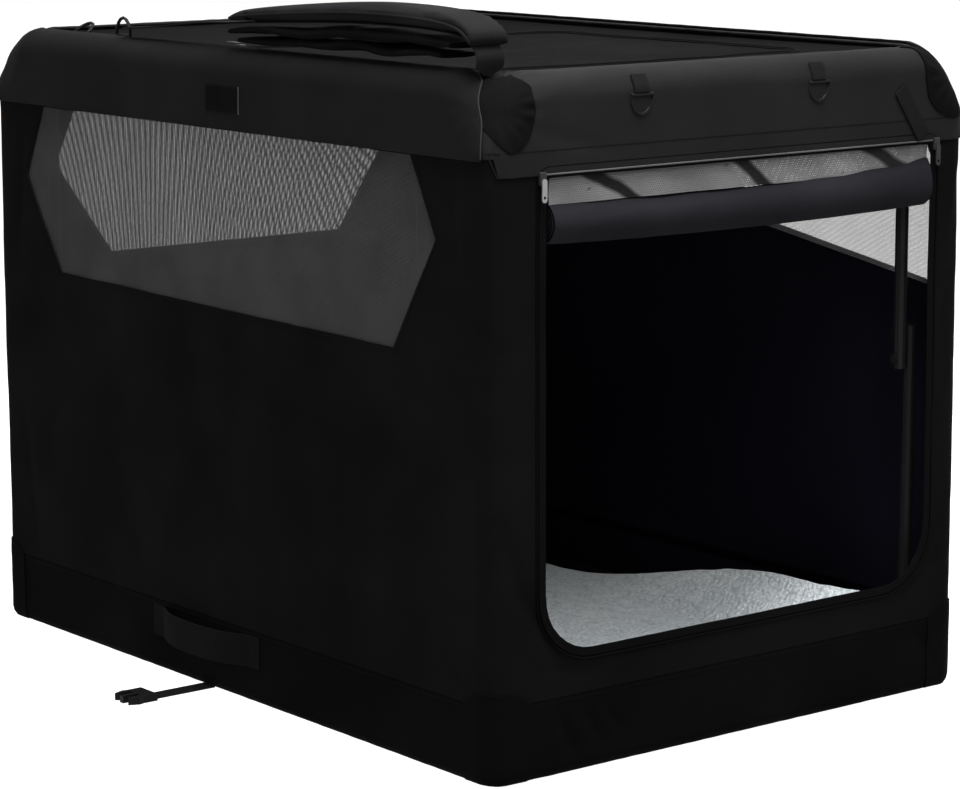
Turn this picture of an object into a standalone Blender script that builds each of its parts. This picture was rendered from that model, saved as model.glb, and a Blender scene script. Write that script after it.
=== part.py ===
# Soft folding dog crate: a cloth house on a folding steel tube frame.
# Metres, +Z up. The origin is the middle of the underside, the front door faces -Y
# and the long side with the hexagonal window and the shoulder strap faces -X.
import math

import bpy
import bmesh
from mathutils import Matrix, Vector

# Driving sizes of the standing crate
LENGTH = 1.06
WIDTH = 0.74
HEIGHT = 0.79
GAP = 0.0003

# Cloth: wall cloth, the patches sewn over it, and the bends that it makes
CLOTH = 0.0025
PATCH = 0.0017
PATCH_GAP = 0.0014
EDGE_BEND = 0.03
LEAST_BEND = 0.009
ROLL_BEND = 0.025
HEM_BEND = 0.015
HEM_SHARES = (0.34, 0.67, 1)
HEM_LIP = 0.005
BASE_SEAM = 0.092
TOP_SEAM_DROP = 0.090
BORDER_LIP = 0.020
SKIN_INSET = PATCH_GAP + PATCH
PATCH_LIFT = PATCH_GAP + PATCH

# The soft top corners sink in and down round the frame's bends
CORNER_DRAW = 0.016
CORNER_DROP = 0.018
CORNER_REACH = 0.045
CORNER_TAIL_SHARE = 0.15

# Corner patches and the long flaps over the side windows
BASE_PATCH_REACH = 0.055
BASE_PATCH_RISE = 0.018
BASE_PATCH_GAP = 0.0006
TOP_PATCH_REACH = 0.075
TOP_PATCH_DROP = 0.078
PATCH_LIP_SHARE = 0.3
TOP_PATCH_SIDE_DROP = 0.042
FLAP_LOW_DROP = 0.092
FLAP_HIGH_DROP = 0.0315

# Tube frame
TUBE = 0.0095
LOOP_INSET = SKIN_INSET + CLOTH + GAP + TUBE
BASE_BEND = 0.035
TOP_BEND = 0.080
BOARD = 0.004
BASE_CLOTH = 0.0025
TOP_LOOP_DROP = 0.030
LEG = 0.008
LEG_WALL = 0.0012
LEG_INSET = 0.048
LEG_FROM_END = 0.050
LEG_END = 0.012
LEG_SIDE_GAP = 0.0005
FOOT_Z = 0.060
PIN = 0.003
PIN_HOLE = 0.0034
HEAD = 0.006
HEAD_THICK = 0.0025
LUG = 0.004
LUG_HALF = 0.014
LUG_ROOT = 0.008
LUG_ARM = 0.056
LUG_STEP = 0.0012
STOP_THICK = 0.0025
STOP_LOW = 0.018
STOP_HIGH = 0.036
STOP_WELD = 0.003

# Openings: half widths and heights of the cuts in the cloth
DOOR_CENTRE = 0.005
DOOR_SIDE_WIDE = 0.071
DOOR_LOW = 0.142
DOOR_DROP = 0.112
DOOR_BEND = 0.070
DOOR_TOP_BEND = 0.012
WINDOW_CENTRE = 0.008
WINDOW_TOP_END = 0.139
WINDOW_WIDE_END = 0.093
WINDOW_LOW_END = 0.172
WINDOW_TOP_DROP = 0.0935
WINDOW_WIDE_DROP = 0.185
WINDOW_LOW_DROP = 0.310
REAR_TOP_SIDE = 0.135
REAR_WIDE_SIDE = 0.095
REAR_LOW_SIDE = 0.180
RIGHT_FRONT_END = 0.048
RIGHT_REAR_END = 0.430
RIGHT_FRONT_DROP = 0.292
RIGHT_REAR_DROP = 0.242
RIGHT_WIDE_DROP = 0.170
MESH = 0.0010
MESH_SEAM = 0.006

# Rolled door and the mesh strip above it
ROLL = 0.025
ROLL_DROP = 0.160
ROLL_BACK = 0.020
ROLL_SHEET = 0.0030
ROLL_AIR = 0.0012
ROLL_CORE = 0.007
ROLL_END_GAP = 0.010
ROLL_FIRST_SHARE = 0.31
ROLL_STEPS = 16
STRIP_RISE = 0.008
STRIP_WAVE = 0.0006
STRIP_WAVES = 9
STRIP_ROW_SHARES = (0, 0.5, 1)

# Roof, its door and the zip of that door
ROOF_SAG = 0.010
ROOF_DOOR_SIDE = 0.115
ROOF_DOOR_FRONT_END = 0.160
ROOF_DOOR_REAR_END = 0.400
ROOF_DOOR_BEND = 0.050
ROOF_DOOR_GAP = 0.0006
ROOF_RING_SHARES = (1.0, 0.86, 0.6, 0.3)
ROOF_SLIDER_AIR = 0.0003

# Floor mat
MAT_SIDE_ROOM = 0.050
MAT_END_ROOM = 0.036
MAT_EDGE = 0.018
MAT_CROWN = 0.036
MAT_BEND = 0.050
MAT_PINCH = 0.006
MAT_PARTS = 8
MAT_SIDE_SHARE = 0.99
# Across and up, as shares: the mat's side, then its crowned top
MAT_SIDE_SHARES = ((0.97, 0.0), (1.0, 0.35), (1.0, 0.7), (0.985, 0.95), (0.94, 1.0))
MAT_TOP_SHARES = ((0.8, 0.45), (0.6, 0.75), (0.35, 0.93))

# Straps, rings and buckles
WEB = 0.0016
WEB_WIDE = 0.038
STRAP_SIDE = 0.035
STRAP_REAR_END = 0.294
STRAP_FRONT_END = 0.044
STRAP_TIP = 0.012
STRAP_TAPER = 0.009
STRAP_RISE = 0.057
PAD_REAR_END = 0.545
PAD_FRONT_END = 0.040
PAD_WIDE = 0.066
PAD_THICK = 0.016
PAD_CROWN_SHARE = 0.25
PAD_END_THICK_SHARE = 0.35
PAD_END_WIDE_SHARE = 0.8
RING_WIRE = 0.0022
RING_HALF = 0.016
RING_DROP = 0.022
TAB_HALF = 0.011
TAB_THICK = 0.0027
TAB_LONG = 0.030
FRONT_RING_LEFT_SIDE = 0.213
FRONT_RING_RIGHT_SIDE = 0.256
SIDE_RING_END = 0.165
HANDLE_CENTRE = 0.040
HANDLE_HALF = 0.117
HANDLE_LOW = 0.046
HANDLE_HIGH = 0.086
HANDLE_BOW = 0.020
HANDLE_END = 0.022
HANDLE_BEND_SHARE = 0.45
HANDLE_BOW_SHARE = 0.8
HANDLE_STEPS = 4
TIE_HALF = 0.010
TIE_HIGH_SIDE = 0.124
TIE_HIGH_DROP = 0.046
TIE_LOW_SIDE = 0.084
TIE_LOW_DROP = 0.104
CLOSURE_Y = 0.045
CLOSURE_HALF = 0.0125
CLOSURE_LONG = 0.078
CLOSURE_TUCK_SHARE = 0.45
BUCKLE_HALF = 0.019
BUCKLE_THICK = 0.009
BUCKLE_LONG = 0.040
PRONG_LONG = 0.020
PRONG_BULGE_SHARE = 1 / 3
BUCKLE_STEP_SHARE = 1 / 5
POCKET_START_SHARE = 1 / 3
FLOOR_AIR = 0.0004

# Zip sliders and pulls
SLIDER_HALF = 0.0045
SLIDER_LONG = 0.015
SLIDER_THICK = 0.0055
SLIDER_SIDE = 0.005
SLIDER_DROP = 0.114
PULL_HALF = 0.0035
PULL_LONG = 0.026
PULL_THICK = 0.0016
PULL_HOLE = 0.0018
PULL_BEND_SHARE = 0.9
PULL_EYE_SHARE = 1.6
PULL_STEPS = 3
HOLE_SIDES = 8
ROOF_SLIDER_ROOM = 0.025
ROOF_SLIDER_STOP = 0.090

# Label tab on the left flap
LABEL_CENTRE = -0.022
LABEL_HALF = 0.034
LABEL_LOW_DROP = 0.072
LABEL_HIGH_DROP = 0.042
LABEL_THICK = 0.0010

# Counts
CORNER_STEPS = 4
BEND_STEPS = 4
TUBE_SIDES = 10
STRAP_STEPS = 4
WIRE_SIDES = 6
LOOP_BEND_STEPS = 5
RING_STEPS = 8
OVERRUN = 0.02

HALF_X = WIDTH / 2
HALF_Y = LENGTH / 2
TOP_SEAM = HEIGHT - TOP_SEAM_DROP
TOP_PATCH_LOW = HEIGHT - TOP_PATCH_DROP
TOP_PATCH_SIDE_LOW = HEIGHT - TOP_PATCH_SIDE_DROP
FLAP_LOW = HEIGHT - FLAP_LOW_DROP
FLAP_HIGH = HEIGHT - FLAP_HIGH_DROP
TOP_LOOP_Z = HEIGHT - TOP_LOOP_DROP
DOOR_HIGH = HEIGHT - DOOR_DROP
WINDOW_TOP = HEIGHT - WINDOW_TOP_DROP
WINDOW_WIDE = HEIGHT - WINDOW_WIDE_DROP
WINDOW_LOW = HEIGHT - WINDOW_LOW_DROP
RIGHT_LOW_FRONT = HEIGHT - RIGHT_FRONT_DROP
RIGHT_LOW_REAR = HEIGHT - RIGHT_REAR_DROP
RIGHT_WIDE = HEIGHT - RIGHT_WIDE_DROP
ROLL_Z = HEIGHT - ROLL_DROP
TIE_HIGH_Z = HEIGHT - TIE_HIGH_DROP
TIE_LOW_Z = HEIGHT - TIE_LOW_DROP
SLIDER_Z = HEIGHT - SLIDER_DROP
LABEL_LOW = HEIGHT - LABEL_LOW_DROP
LABEL_HIGH = HEIGHT - LABEL_HIGH_DROP
STRAP_PEAK = HEIGHT + STRAP_RISE
MAT_HALF_X = HALF_X - MAT_SIDE_ROOM
MAT_HALF_Y = HALF_Y - MAT_END_ROOM
DOOR_HALF = HALF_X - DOOR_SIDE_WIDE
WINDOW_TOP_HALF = HALF_Y - WINDOW_TOP_END
WINDOW_WIDE_HALF = HALF_Y - WINDOW_WIDE_END
WINDOW_LOW_HALF = HALF_Y - WINDOW_LOW_END
REAR_TOP_HALF = HALF_X - REAR_TOP_SIDE
REAR_WIDE_HALF = HALF_X - REAR_WIDE_SIDE
REAR_LOW_HALF = HALF_X - REAR_LOW_SIDE
RIGHT_FRONT = -HALF_Y + RIGHT_FRONT_END
RIGHT_REAR = -HALF_Y + RIGHT_REAR_END
ROOF_DOOR_HALF_X = HALF_X - ROOF_DOOR_SIDE
ROOF_DOOR_FRONT = -HALF_Y + ROOF_DOOR_FRONT_END
ROOF_DOOR_REAR = HALF_Y - ROOF_DOOR_REAR_END
STRAP_X = -HALF_X + STRAP_SIDE
STRAP_REAR = HALF_Y - STRAP_REAR_END
STRAP_FRONT = -HALF_Y + STRAP_FRONT_END
PAD_FRONT = -HALF_Y + PAD_FRONT_END
PAD_REAR = HALF_Y - PAD_REAR_END
FRONT_RING_LEFT = -HALF_X + FRONT_RING_LEFT_SIDE
FRONT_RING_RIGHT = HALF_X - FRONT_RING_RIGHT_SIDE
SIDE_RING = HALF_Y - SIDE_RING_END
TIE_HIGH_X = HALF_X - TIE_HIGH_SIDE
TIE_LOW_X = HALF_X - TIE_LOW_SIDE
SLIDER_LEFT = DOOR_CENTRE - DOOR_HALF - SLIDER_SIDE
SLIDER_RIGHT = DOOR_CENTRE + DOOR_HALF + SLIDER_SIDE
ROOF_SLIDER_Y = ROOF_DOOR_REAR - ROOF_SLIDER_ROOM
ROOF_SLIDER_END = ROOF_DOOR_FRONT + ROOF_SLIDER_STOP
ROLL_START = HEIGHT - PATCH_LIFT - ROLL_BEND
ROLL_ARC = ROLL_BEND * math.pi / 2
HEM_ARC = HEM_BEND * math.pi / 2
BASE_LOOP_Z = BASE_CLOTH + GAP + BOARD + GAP + TUBE
LOWER_X = HALF_X - LEG_INSET
UPPER_X = LOWER_X - 2 * LEG - LEG_SIDE_GAP
LEG_Y = HALF_Y - LEG_FROM_END
KNEE_Z = (FOOT_Z + TOP_LOOP_Z) / 2
WALL_FACE_X = HALF_X - SKIN_INSET
WALL_FACE_Y = HALF_Y - SKIN_INSET

COLOURS = {
    "wall_cloth": ((0.012, 0.012, 0.013, 1.0), 0.85, 0.0),
    "band_cloth": ((0.017, 0.017, 0.018, 1.0), 0.80, 0.0),
    "mesh_cloth": ((0.045, 0.047, 0.050, 1.0), 0.75, 0.0),
    "fleece": ((0.48, 0.54, 0.58, 1.0), 0.95, 0.0),
    "webbing": ((0.020, 0.020, 0.021, 1.0), 0.70, 0.0),
    "moulding": ((0.015, 0.015, 0.016, 1.0), 0.45, 0.0),
    "black_tube": ((0.020, 0.020, 0.022, 1.0), 0.40, 0.6),
    "zinc": ((0.55, 0.55, 0.56, 1.0), 0.30, 1.0),
    "hardboard": ((0.10, 0.075, 0.05, 1.0), 0.80, 0.0),
}


def clear_scene():
    for old in list(bpy.data.objects):
        bpy.data.objects.remove(old, do_unlink=True)


def make_materials():
    made = {}
    for name, (colour, roughness, metallic) in COLOURS.items():
        material = bpy.data.materials.new(name)
        material.use_nodes = True
        shader = material.node_tree.nodes["Principled BSDF"]
        shader.inputs["Base Color"].default_value = colour
        shader.inputs["Roughness"].default_value = roughness
        shader.inputs["Metallic"].default_value = metallic
        made[name] = material
    return made


clear_scene()
MATERIALS = make_materials()


def finish(shape, name, material, pivot=None):
    """Turn a bmesh into a named object whose origin is its pivot."""
    bmesh.ops.recalc_face_normals(shape, faces=shape.faces)
    mesh = bpy.data.meshes.new(name)
    place = Vector(pivot) if pivot else Vector((0, 0, 0))
    bmesh.ops.translate(shape, verts=shape.verts, vec=-place)
    shape.to_mesh(mesh)
    shape.free()
    mesh.shade_smooth()
    mesh.set_sharp_from_angle(angle=math.radians(35))
    mesh.materials.append(MATERIALS[material])
    thing = bpy.data.objects.new(name, mesh)
    thing.location = place
    bpy.context.scene.collection.objects.link(thing)
    return thing


def combine(target, tools, operation):
    """Apply one Boolean for each tool object, then drop the tools."""
    for tool in tools:
        step = target.modifiers.new("combine", "BOOLEAN")
        step.operation = operation
        step.solver = "EXACT"
        step.object = tool
    bpy.context.view_layer.update()
    seen = target.evaluated_get(bpy.context.evaluated_depsgraph_get())
    joined = bpy.data.meshes.new_from_object(seen)
    target.modifiers.clear()
    target.data = joined
    joined.shade_smooth()
    joined.set_sharp_from_angle(angle=math.radians(35))
    for tool in tools:
        bpy.data.objects.remove(tool, do_unlink=True)
    return target


# Places on the cloth: stations run round the plan, heights run up the cloth and over the roll


def arc_station(sign_x, sign_y, angle):
    """A station on a rounded upright edge of the plan."""

    def place(inset):
        bend = max(EDGE_BEND - inset, LEAST_BEND)
        normal = Vector((math.cos(angle), math.sin(angle)))
        centre = Vector((sign_x * (HALF_X - inset - bend), sign_y * (HALF_Y - inset - bend)))
        return centre + bend * normal, normal

    return place


def edge_station(first, second, share):
    """A station on the straight run between two arc stations."""

    def place(inset):
        start, normal = first(inset)
        end = second(inset)[0]
        return start.lerp(end, share), normal

    return place


REACH_SHARES = (1 / 3, 2 / 3, 1)
MIDDLE_SHARES = (1 / 3, 1 / 2, 2 / 3)
QUADRANTS = ((1, 1), (-1, 1), (-1, -1), (1, -1))
SIDES = ("rear", "left", "front", "right")


def corner_arc(number):
    """The stations of one upright edge, anticlockwise."""
    sign_x, sign_y = QUADRANTS[number % 4]
    start = (number % 4) * math.pi / 2
    turn = math.pi / 2 / CORNER_STEPS
    return [arc_station(sign_x, sign_y, start + turn * step) for step in range(CORNER_STEPS + 1)]


def straight_length(side):
    full = WIDTH if side in ("rear", "front") else LENGTH
    return full - 2 * EDGE_BEND


def edge_marks(side):
    """Distances along a straight run where every cloth piece has a station."""
    length = straight_length(side)
    near = [TOP_PATCH_REACH * share for share in REACH_SHARES]
    middle = [length * share for share in MIDDLE_SHARES]
    return near + middle + [length - mark for mark in reversed(near)]


def run(side, marks=None):
    """Stations strictly between the two corners of one side."""
    number = SIDES.index(side)
    first = corner_arc(number)[-1]
    second = corner_arc(number + 1)[0]
    length = straight_length(side)
    chosen = edge_marks(side) if marks is None else marks
    return [edge_station(first, second, mark / length) for mark in chosen]


def whole_round():
    stations = []
    for number, side in enumerate(SIDES):
        stations += corner_arc(number) + run(side)
    return stations


def side_stations(side):
    """One wall: half of each corner and the run between them."""
    number = SIDES.index(side)
    half = CORNER_STEPS // 2
    return corner_arc(number)[half:] + run(side) + corner_arc(number + 1)[: half + 1]


def level(height):
    """Height up the cloth to (z, inset, lean), over the hem below and the roll above."""
    if height > ROLL_START + ROLL_ARC:
        return ROLL_START + ROLL_BEND, ROLL_BEND + height - ROLL_START - ROLL_ARC, math.pi / 2
    if height > ROLL_START:
        lean = (height - ROLL_START) / ROLL_BEND
        return ROLL_START + ROLL_BEND * math.sin(lean), ROLL_BEND * (1 - math.cos(lean)), lean
    if height >= HEM_BEND:
        return height, 0.0, 0.0
    if height > HEM_BEND - HEM_ARC:
        lean = (height - HEM_BEND) / HEM_BEND
        return HEM_BEND * (1 + math.sin(lean)), HEM_BEND * (1 - math.cos(lean)), lean
    return 0.0, HEM_BEND + HEM_BEND - HEM_ARC - height, -math.pi / 2


def soften(point):
    """Draw a point of the cover in where it lies near a top corner."""
    away_x = HALF_X - abs(point.x)
    away_y = HALF_Y - abs(point.y)
    away_z = HEIGHT - point.z
    far = (away_x ** 2 + away_y ** 2 + away_z ** 2) / (2 * CORNER_REACH ** 2)
    pull = max(math.exp(-far) - CORNER_TAIL_SHARE, 0) / (1 - CORNER_TAIL_SHARE)
    inward = CORNER_DRAW * pull
    return Vector((
        point.x - math.copysign(inward, point.x),
        point.y - math.copysign(inward, point.y),
        point.z - CORNER_DROP * pull,
    ))


def skin_point(station, height, lift):
    z, inset, lean = level(height)
    flat, normal = station(SKIN_INSET + inset)
    out = Vector((normal.x * math.cos(lean), normal.y * math.cos(lean), math.sin(lean)))
    return soften(Vector((flat.x, flat.y, z)) + out * lift)


ROLL_SHARES = (0.25, 0.5, 0.75, 1)
BORDER_ROWS = [TOP_SEAM + (ROLL_START - TOP_SEAM) * n / 3 for n in range(4)]
BORDER_ROWS += [ROLL_START + ROLL_ARC * share for share in ROLL_SHARES]
BORDER_ROWS += [ROLL_START + ROLL_ARC + BORDER_LIP]


def facet_point(station, height, lift):
    """A point on the flat facets that the border makes, so that patches lie parallel to it."""
    below = [row for row in BORDER_ROWS if row <= height]
    above = [row for row in BORDER_ROWS if row > height]
    if not below or not above:
        return skin_point(station, height, lift)
    share = (height - below[-1]) / (above[0] - below[-1])
    return skin_point(station, below[-1], lift).lerp(skin_point(station, above[0], lift), share)


def shell(outer, inner, closed):
    """A closed solid between two grids of points with the same rows and columns."""
    shape = bmesh.new()
    front = [[shape.verts.new(p) for p in column] for column in outer]
    back = [[shape.verts.new(p) for p in column] for column in inner]
    columns = len(outer)
    rows = len(outer[0])
    last = columns if closed else columns - 1
    for i in range(last):
        k = (i + 1) % columns
        for j in range(rows - 1):
            shape.faces.new((front[i][j], front[k][j], front[k][j + 1], front[i][j + 1]))
            shape.faces.new((back[i][j + 1], back[k][j + 1], back[k][j], back[i][j]))
        shape.faces.new((front[k][0], front[i][0], back[i][0], back[k][0]))
        shape.faces.new((front[i][-1], front[k][-1], back[k][-1], back[i][-1]))
    if not closed:
        for j in range(rows - 1):
            shape.faces.new((front[0][j], front[0][j + 1], back[0][j + 1], back[0][j]))
            shape.faces.new((front[-1][j + 1], front[-1][j], back[-1][j], back[-1][j + 1]))
    return shape


def draw_back(grid, amount):
    """Pull the two end columns of a grid in by an amount, so that neighbours keep a gap."""
    for end, neighbour in ((0, 1), (-1, -2)):
        grid[end] = [
            p + (q - p).normalized() * amount
            for p, q in zip(grid[end], grid[neighbour])
        ]


def cloth(name, stations, heights, lift, thickness, material, closed=False, trim=0.0):
    """A piece of cloth: heights is a list, or a function of the station's number."""
    outer = []
    inner = []
    for number, station in enumerate(stations):
        rows = heights(number) if callable(heights) else heights
        outer.append([facet_point(station, h, lift) for h in rows])
        inner.append([facet_point(station, h, lift - thickness) for h in rows])
    if trim:
        draw_back(outer, trim)
        draw_back(inner, trim)
    return finish(shell(outer, inner, closed), name, material)


def between(low, high, shares):
    return [low + (high - low) * share for share in shares]


# Simple solids


def box(shape, low, high):
    made = bmesh.ops.create_cube(shape, size=1)
    low = Vector(low)
    high = Vector(high)
    size = high - low
    bmesh.ops.scale(shape, verts=made["verts"], vec=size)
    bmesh.ops.translate(shape, verts=made["verts"], vec=(low + high) / 2)
    return made["verts"]


def box_object(name, low, high, material="black_tube"):
    shape = bmesh.new()
    box(shape, low, high)
    return finish(shape, name, material)


def rod(name, start, end, radius, material="black_tube", sides=TUBE_SIDES):
    """A round bar between two points."""
    start = Vector(start)
    end = Vector(end)
    along = end - start
    shape = bmesh.new()
    bmesh.ops.create_cone(
        shape, cap_ends=True, segments=sides, radius1=radius, radius2=radius, depth=along.length
    )
    turn = along.to_track_quat("Z", "Y").to_matrix().to_4x4()
    place = Matrix.Translation((start + end) / 2) @ turn
    bmesh.ops.transform(shape, matrix=place, verts=shape.verts)
    return finish(shape, name, material)


def ring_of(shape, centre, across, up, radius, sides):
    return [
        shape.verts.new(
            centre
            + across * (radius * math.cos(2 * math.pi * n / sides))
            + up * (radius * math.sin(2 * math.pi * n / sides))
        )
        for n in range(sides)
    ]


def bent_tube(name, path, up, radius, sides, material, pivot=None):
    """A closed loop of round tube that lies in the plane square to up."""
    shape = bmesh.new()
    rings = []
    count = len(path)
    for n in range(count):
        along = (path[(n + 1) % count] - path[n - 1]).normalized()
        rings.append(ring_of(shape, path[n], along.cross(up).normalized(), up, radius, sides))
    for n in range(count):
        here = rings[n]
        there = rings[(n + 1) % count]
        for s in range(sides):
            t = (s + 1) % sides
            shape.faces.new((here[s], here[t], there[t], there[s]))
    return finish(shape, name, material, pivot)


def hollow_leg(name, x, y, low, high, pivot):
    """An open steel tube, upright."""
    shape = bmesh.new()
    across = Vector((1, 0, 0))
    away = Vector((0, 1, 0))
    inner = LEG - LEG_WALL
    rings = []
    for z, radius in ((low, LEG), (high, LEG), (high, inner), (low, inner)):
        rings.append(ring_of(shape, Vector((x, y, z)), across, away, radius, TUBE_SIDES))
    for n in range(len(rings)):
        here = rings[n]
        there = rings[(n + 1) % len(rings)]
        for s in range(TUBE_SIDES):
            t = (s + 1) % TUBE_SIDES
            shape.faces.new((here[s], here[t], there[t], there[s]))
    return finish(shape, name, "black_tube", pivot)


def smooth_path(points, steps):
    """Points of a smooth curve through a few hand-set points."""
    known = [Vector(p) for p in points]
    known = [2 * known[0] - known[1]] + known + [2 * known[-1] - known[-2]]
    path = []
    for n in range(1, len(known) - 2):
        a, b, c, d = known[n - 1 : n + 3]
        for step in range(steps):
            t = step / steps
            square = (2 * a - 5 * b + 4 * c - d) * t ** 2
            cube = (3 * b - a - 3 * c + d) * t ** 3
            path.append((2 * b + (c - a) * t + square + cube) / 2)
    path.append(known[-2])
    return path


def ribbon(name, path, across, widths, thicknesses, material, pivot=None, crown=0.0):
    """A flat strap along a path; across is the way its width lies, crown rounds its section."""
    shape = bmesh.new()
    sections = []
    count = len(path)
    across = Vector(across).normalized()
    for n in range(count):
        before = path[max(n - 1, 0)]
        after = path[min(n + 1, count - 1)]
        out = (after - before).normalized().cross(across).normalized()
        half = widths[n] / 2
        thick = thicknesses[n] / 2
        edge = 1 - crown
        corners = (
            (-1, -edge), (-1 + crown, -1), (0, -1 - crown), (1 - crown, -1),
            (1, -edge), (1, edge), (1 - crown, 1), (0, 1 + crown), (-1 + crown, 1), (-1, edge),
        ) if crown else ((-1, -1), (1, -1), (1, 1), (-1, 1))
        sections.append([
            shape.verts.new(path[n] + across * (half * a) + out * (thick * b)) for a, b in corners
        ])
    sides = len(sections[0])
    for n in range(count - 1):
        for s in range(sides):
            t = (s + 1) % sides
            shape.faces.new((sections[n][s], sections[n][t], sections[n + 1][t], sections[n + 1][s]))
    shape.faces.new(sections[0])
    shape.faces.new(list(reversed(sections[-1])))
    return finish(shape, name, material, pivot)


def plate(outline, low, high, axis):
    """A flat outline in the two other axes, extruded between two places on axis."""
    shape = bmesh.new()
    order = {
        "x": lambda a, b, c: (c, a, b),
        "y": lambda a, b, c: (a, c, b),
        "z": lambda a, b, c: (a, b, c),
    }
    put = order[axis]
    bottom = [shape.verts.new(put(a, b, low)) for a, b in outline]
    face = shape.faces.new(bottom)
    pushed = bmesh.ops.extrude_face_region(shape, geom=[face])
    moved = [item for item in pushed["geom"] if isinstance(item, bmesh.types.BMVert)]
    bmesh.ops.translate(shape, verts=moved, vec=put(0, 0, high - low))
    return shape


def rounded_outline(low, high, bends, steps=BEND_STEPS):
    """A rectangle with a bend at each corner, from its low and high corners, anticlockwise."""
    (left, bottom), (right, top) = low, high
    corners = ((right, top, 1, 1), (left, top, -1, 1), (left, bottom, -1, -1), (right, bottom, 1, -1))
    outline = []
    for number, (x, y, sign_x, sign_y) in enumerate(corners):
        bend = bends[number]
        for step in range(steps + 1):
            angle = (number + step / steps) * math.pi / 2
            outline.append((
                x - sign_x * bend + bend * math.cos(angle),
                y - sign_y * bend + bend * math.sin(angle),
            ))
    return outline


# Folding steel frame


def loop_path(inset, bend, z):
    half_x = HALF_X - inset
    half_y = HALF_Y - inset
    outline = rounded_outline((-half_x, -half_y), (half_x, half_y), [bend] * 4, LOOP_BEND_STEPS)
    return [Vector((x, y, z)) for x, y in outline]


def lug_parts(side, end, loop_z, pin_z, pin_at, arm):
    """One hinge lug: its plate, the foot that ties it to the loop, the pin and the pin's head."""
    leg_y = end * LEG_Y
    inner_half = LUG_HALF - LUG_STEP
    plate_y = sorted((leg_y + end * LUG_HALF, leg_y - end * (LUG_HALF + arm)))
    tie_y = sorted((leg_y + end * (inner_half - arm), leg_y - end * (inner_half + arm)))
    near = pin_at + LEG + GAP
    far = near + LUG
    plate_x = sorted((side * near, side * far))
    tie_x = sorted((side * (near + LUG_STEP), side * (HALF_X - LOOP_INSET)))
    head_at = pin_at - LEG - GAP
    low = min(loop_z - LUG_ROOT, pin_z - LUG_HALF)
    pin_start = (side * (near + LUG / 2), leg_y, pin_z)
    pin_end = (side * (head_at - HEAD_THICK / 2), leg_y, pin_z)
    head_start = (side * head_at, leg_y, pin_z)
    head_end = (side * (head_at - HEAD_THICK), leg_y, pin_z)
    tie_low = (tie_x[0], tie_y[0], loop_z - LUG_ROOT + LUG_STEP)
    tie_high = (tie_x[1], tie_y[1], loop_z + LUG_ROOT - LUG_STEP)
    return [
        box_object("plate", (plate_x[0], plate_y[0], low), (plate_x[1], plate_y[1], pin_z + LUG_HALF)),
        box_object("tie", tie_low, tie_high),
        rod("pin", pin_start, pin_end, PIN),
        rod("head", head_start, head_end, HEAD),
    ]


CORNERS = (
    ("front_left", -1, -1),
    ("front_right", 1, -1),
    ("rear_left", -1, 1),
    ("rear_right", 1, 1),
)


def make_loop(name, bend, z):
    """One loop of the frame, level."""
    path = loop_path(LOOP_INSET, bend, z)
    return bent_tube(name, path, Vector((0, 0, 1)), TUBE, TUBE_SIDES, "black_tube")


def make_base_frame():
    loop = make_loop("base_frame", BASE_BEND, BASE_LOOP_Z)
    tools = []
    for _, side, end in CORNERS:
        tools += lug_parts(side, end, BASE_LOOP_Z, FOOT_Z, LOWER_X, 0)
    combine(loop, tools, "UNION")


def make_top_frame():
    loop = make_loop("top_frame", TOP_BEND, TOP_LOOP_Z)
    tools = []
    for _, side, end in CORNERS:
        tools += lug_parts(side, end, TOP_LOOP_Z, TOP_LOOP_Z, UPPER_X, LUG_ARM)
    combine(loop, tools, "UNION")


def make_lower_leg(name, side, end):
    """The lower half: foot hole, knee pin with its head, and the stop behind the upper half."""
    x = side * LOWER_X
    y = end * LEG_Y
    top = KNEE_Z + STOP_HIGH + LEG / 2
    leg = hollow_leg("lower_leg_" + name, x, y, FOOT_Z - LEG_END, top, (x, y, FOOT_Z))
    hole = rod("hole", (x - OVERRUN, y, FOOT_Z), (x + OVERRUN, y, FOOT_Z), PIN_HOLE)
    combine(leg, [hole], "DIFFERENCE")
    outer_end = side * (LOWER_X + LEG + HEAD_THICK / 2)
    inner_end = side * (UPPER_X - LEG - GAP - HEAD_THICK / 2)
    head_start = side * (UPPER_X - LEG - GAP)
    pin = rod("pin", (outer_end, y, KNEE_Z), (inner_end, y, KNEE_Z), PIN)
    head = rod("head", (head_start, y, KNEE_Z), (head_start - side * HEAD_THICK, y, KNEE_Z), HEAD)
    inward = -end
    near = y + inward * (LEG + GAP)
    far = near + inward * STOP_THICK
    low_x = min(side * (UPPER_X - LEG / 2), side * (LOWER_X + LEG / 2))
    high_x = max(side * (UPPER_X - LEG / 2), side * (LOWER_X + LEG / 2))
    stop = box_object(
        "stop", (low_x, min(near, far), KNEE_Z + STOP_LOW), (high_x, max(near, far), KNEE_Z + STOP_HIGH)
    )
    weld_back = y + inward * (LEG - LEG_WALL / 2)
    weld = box_object(
        "weld",
        (x - STOP_WELD, min(weld_back, far), KNEE_Z + STOP_LOW),
        (x + STOP_WELD, max(weld_back, far), KNEE_Z + STOP_HIGH),
    )
    combine(leg, [pin, head, weld, stop], "UNION")


def make_upper_leg(name, side, end):
    """The upper half: a hole for the knee pin and one for the pin on the top loop."""
    x = side * UPPER_X
    y = end * LEG_Y
    low = KNEE_Z - LEG_END
    high = TOP_LOOP_Z + LEG_END
    leg = hollow_leg("upper_leg_" + name, x, y, low, high, (x, y, KNEE_Z))
    holes = [
        rod("hole", (x - OVERRUN, y, z), (x + OVERRUN, y, z), PIN_HOLE) for z in (KNEE_Z, TOP_LOOP_Z)
    ]
    combine(leg, holes, "DIFFERENCE")


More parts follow.
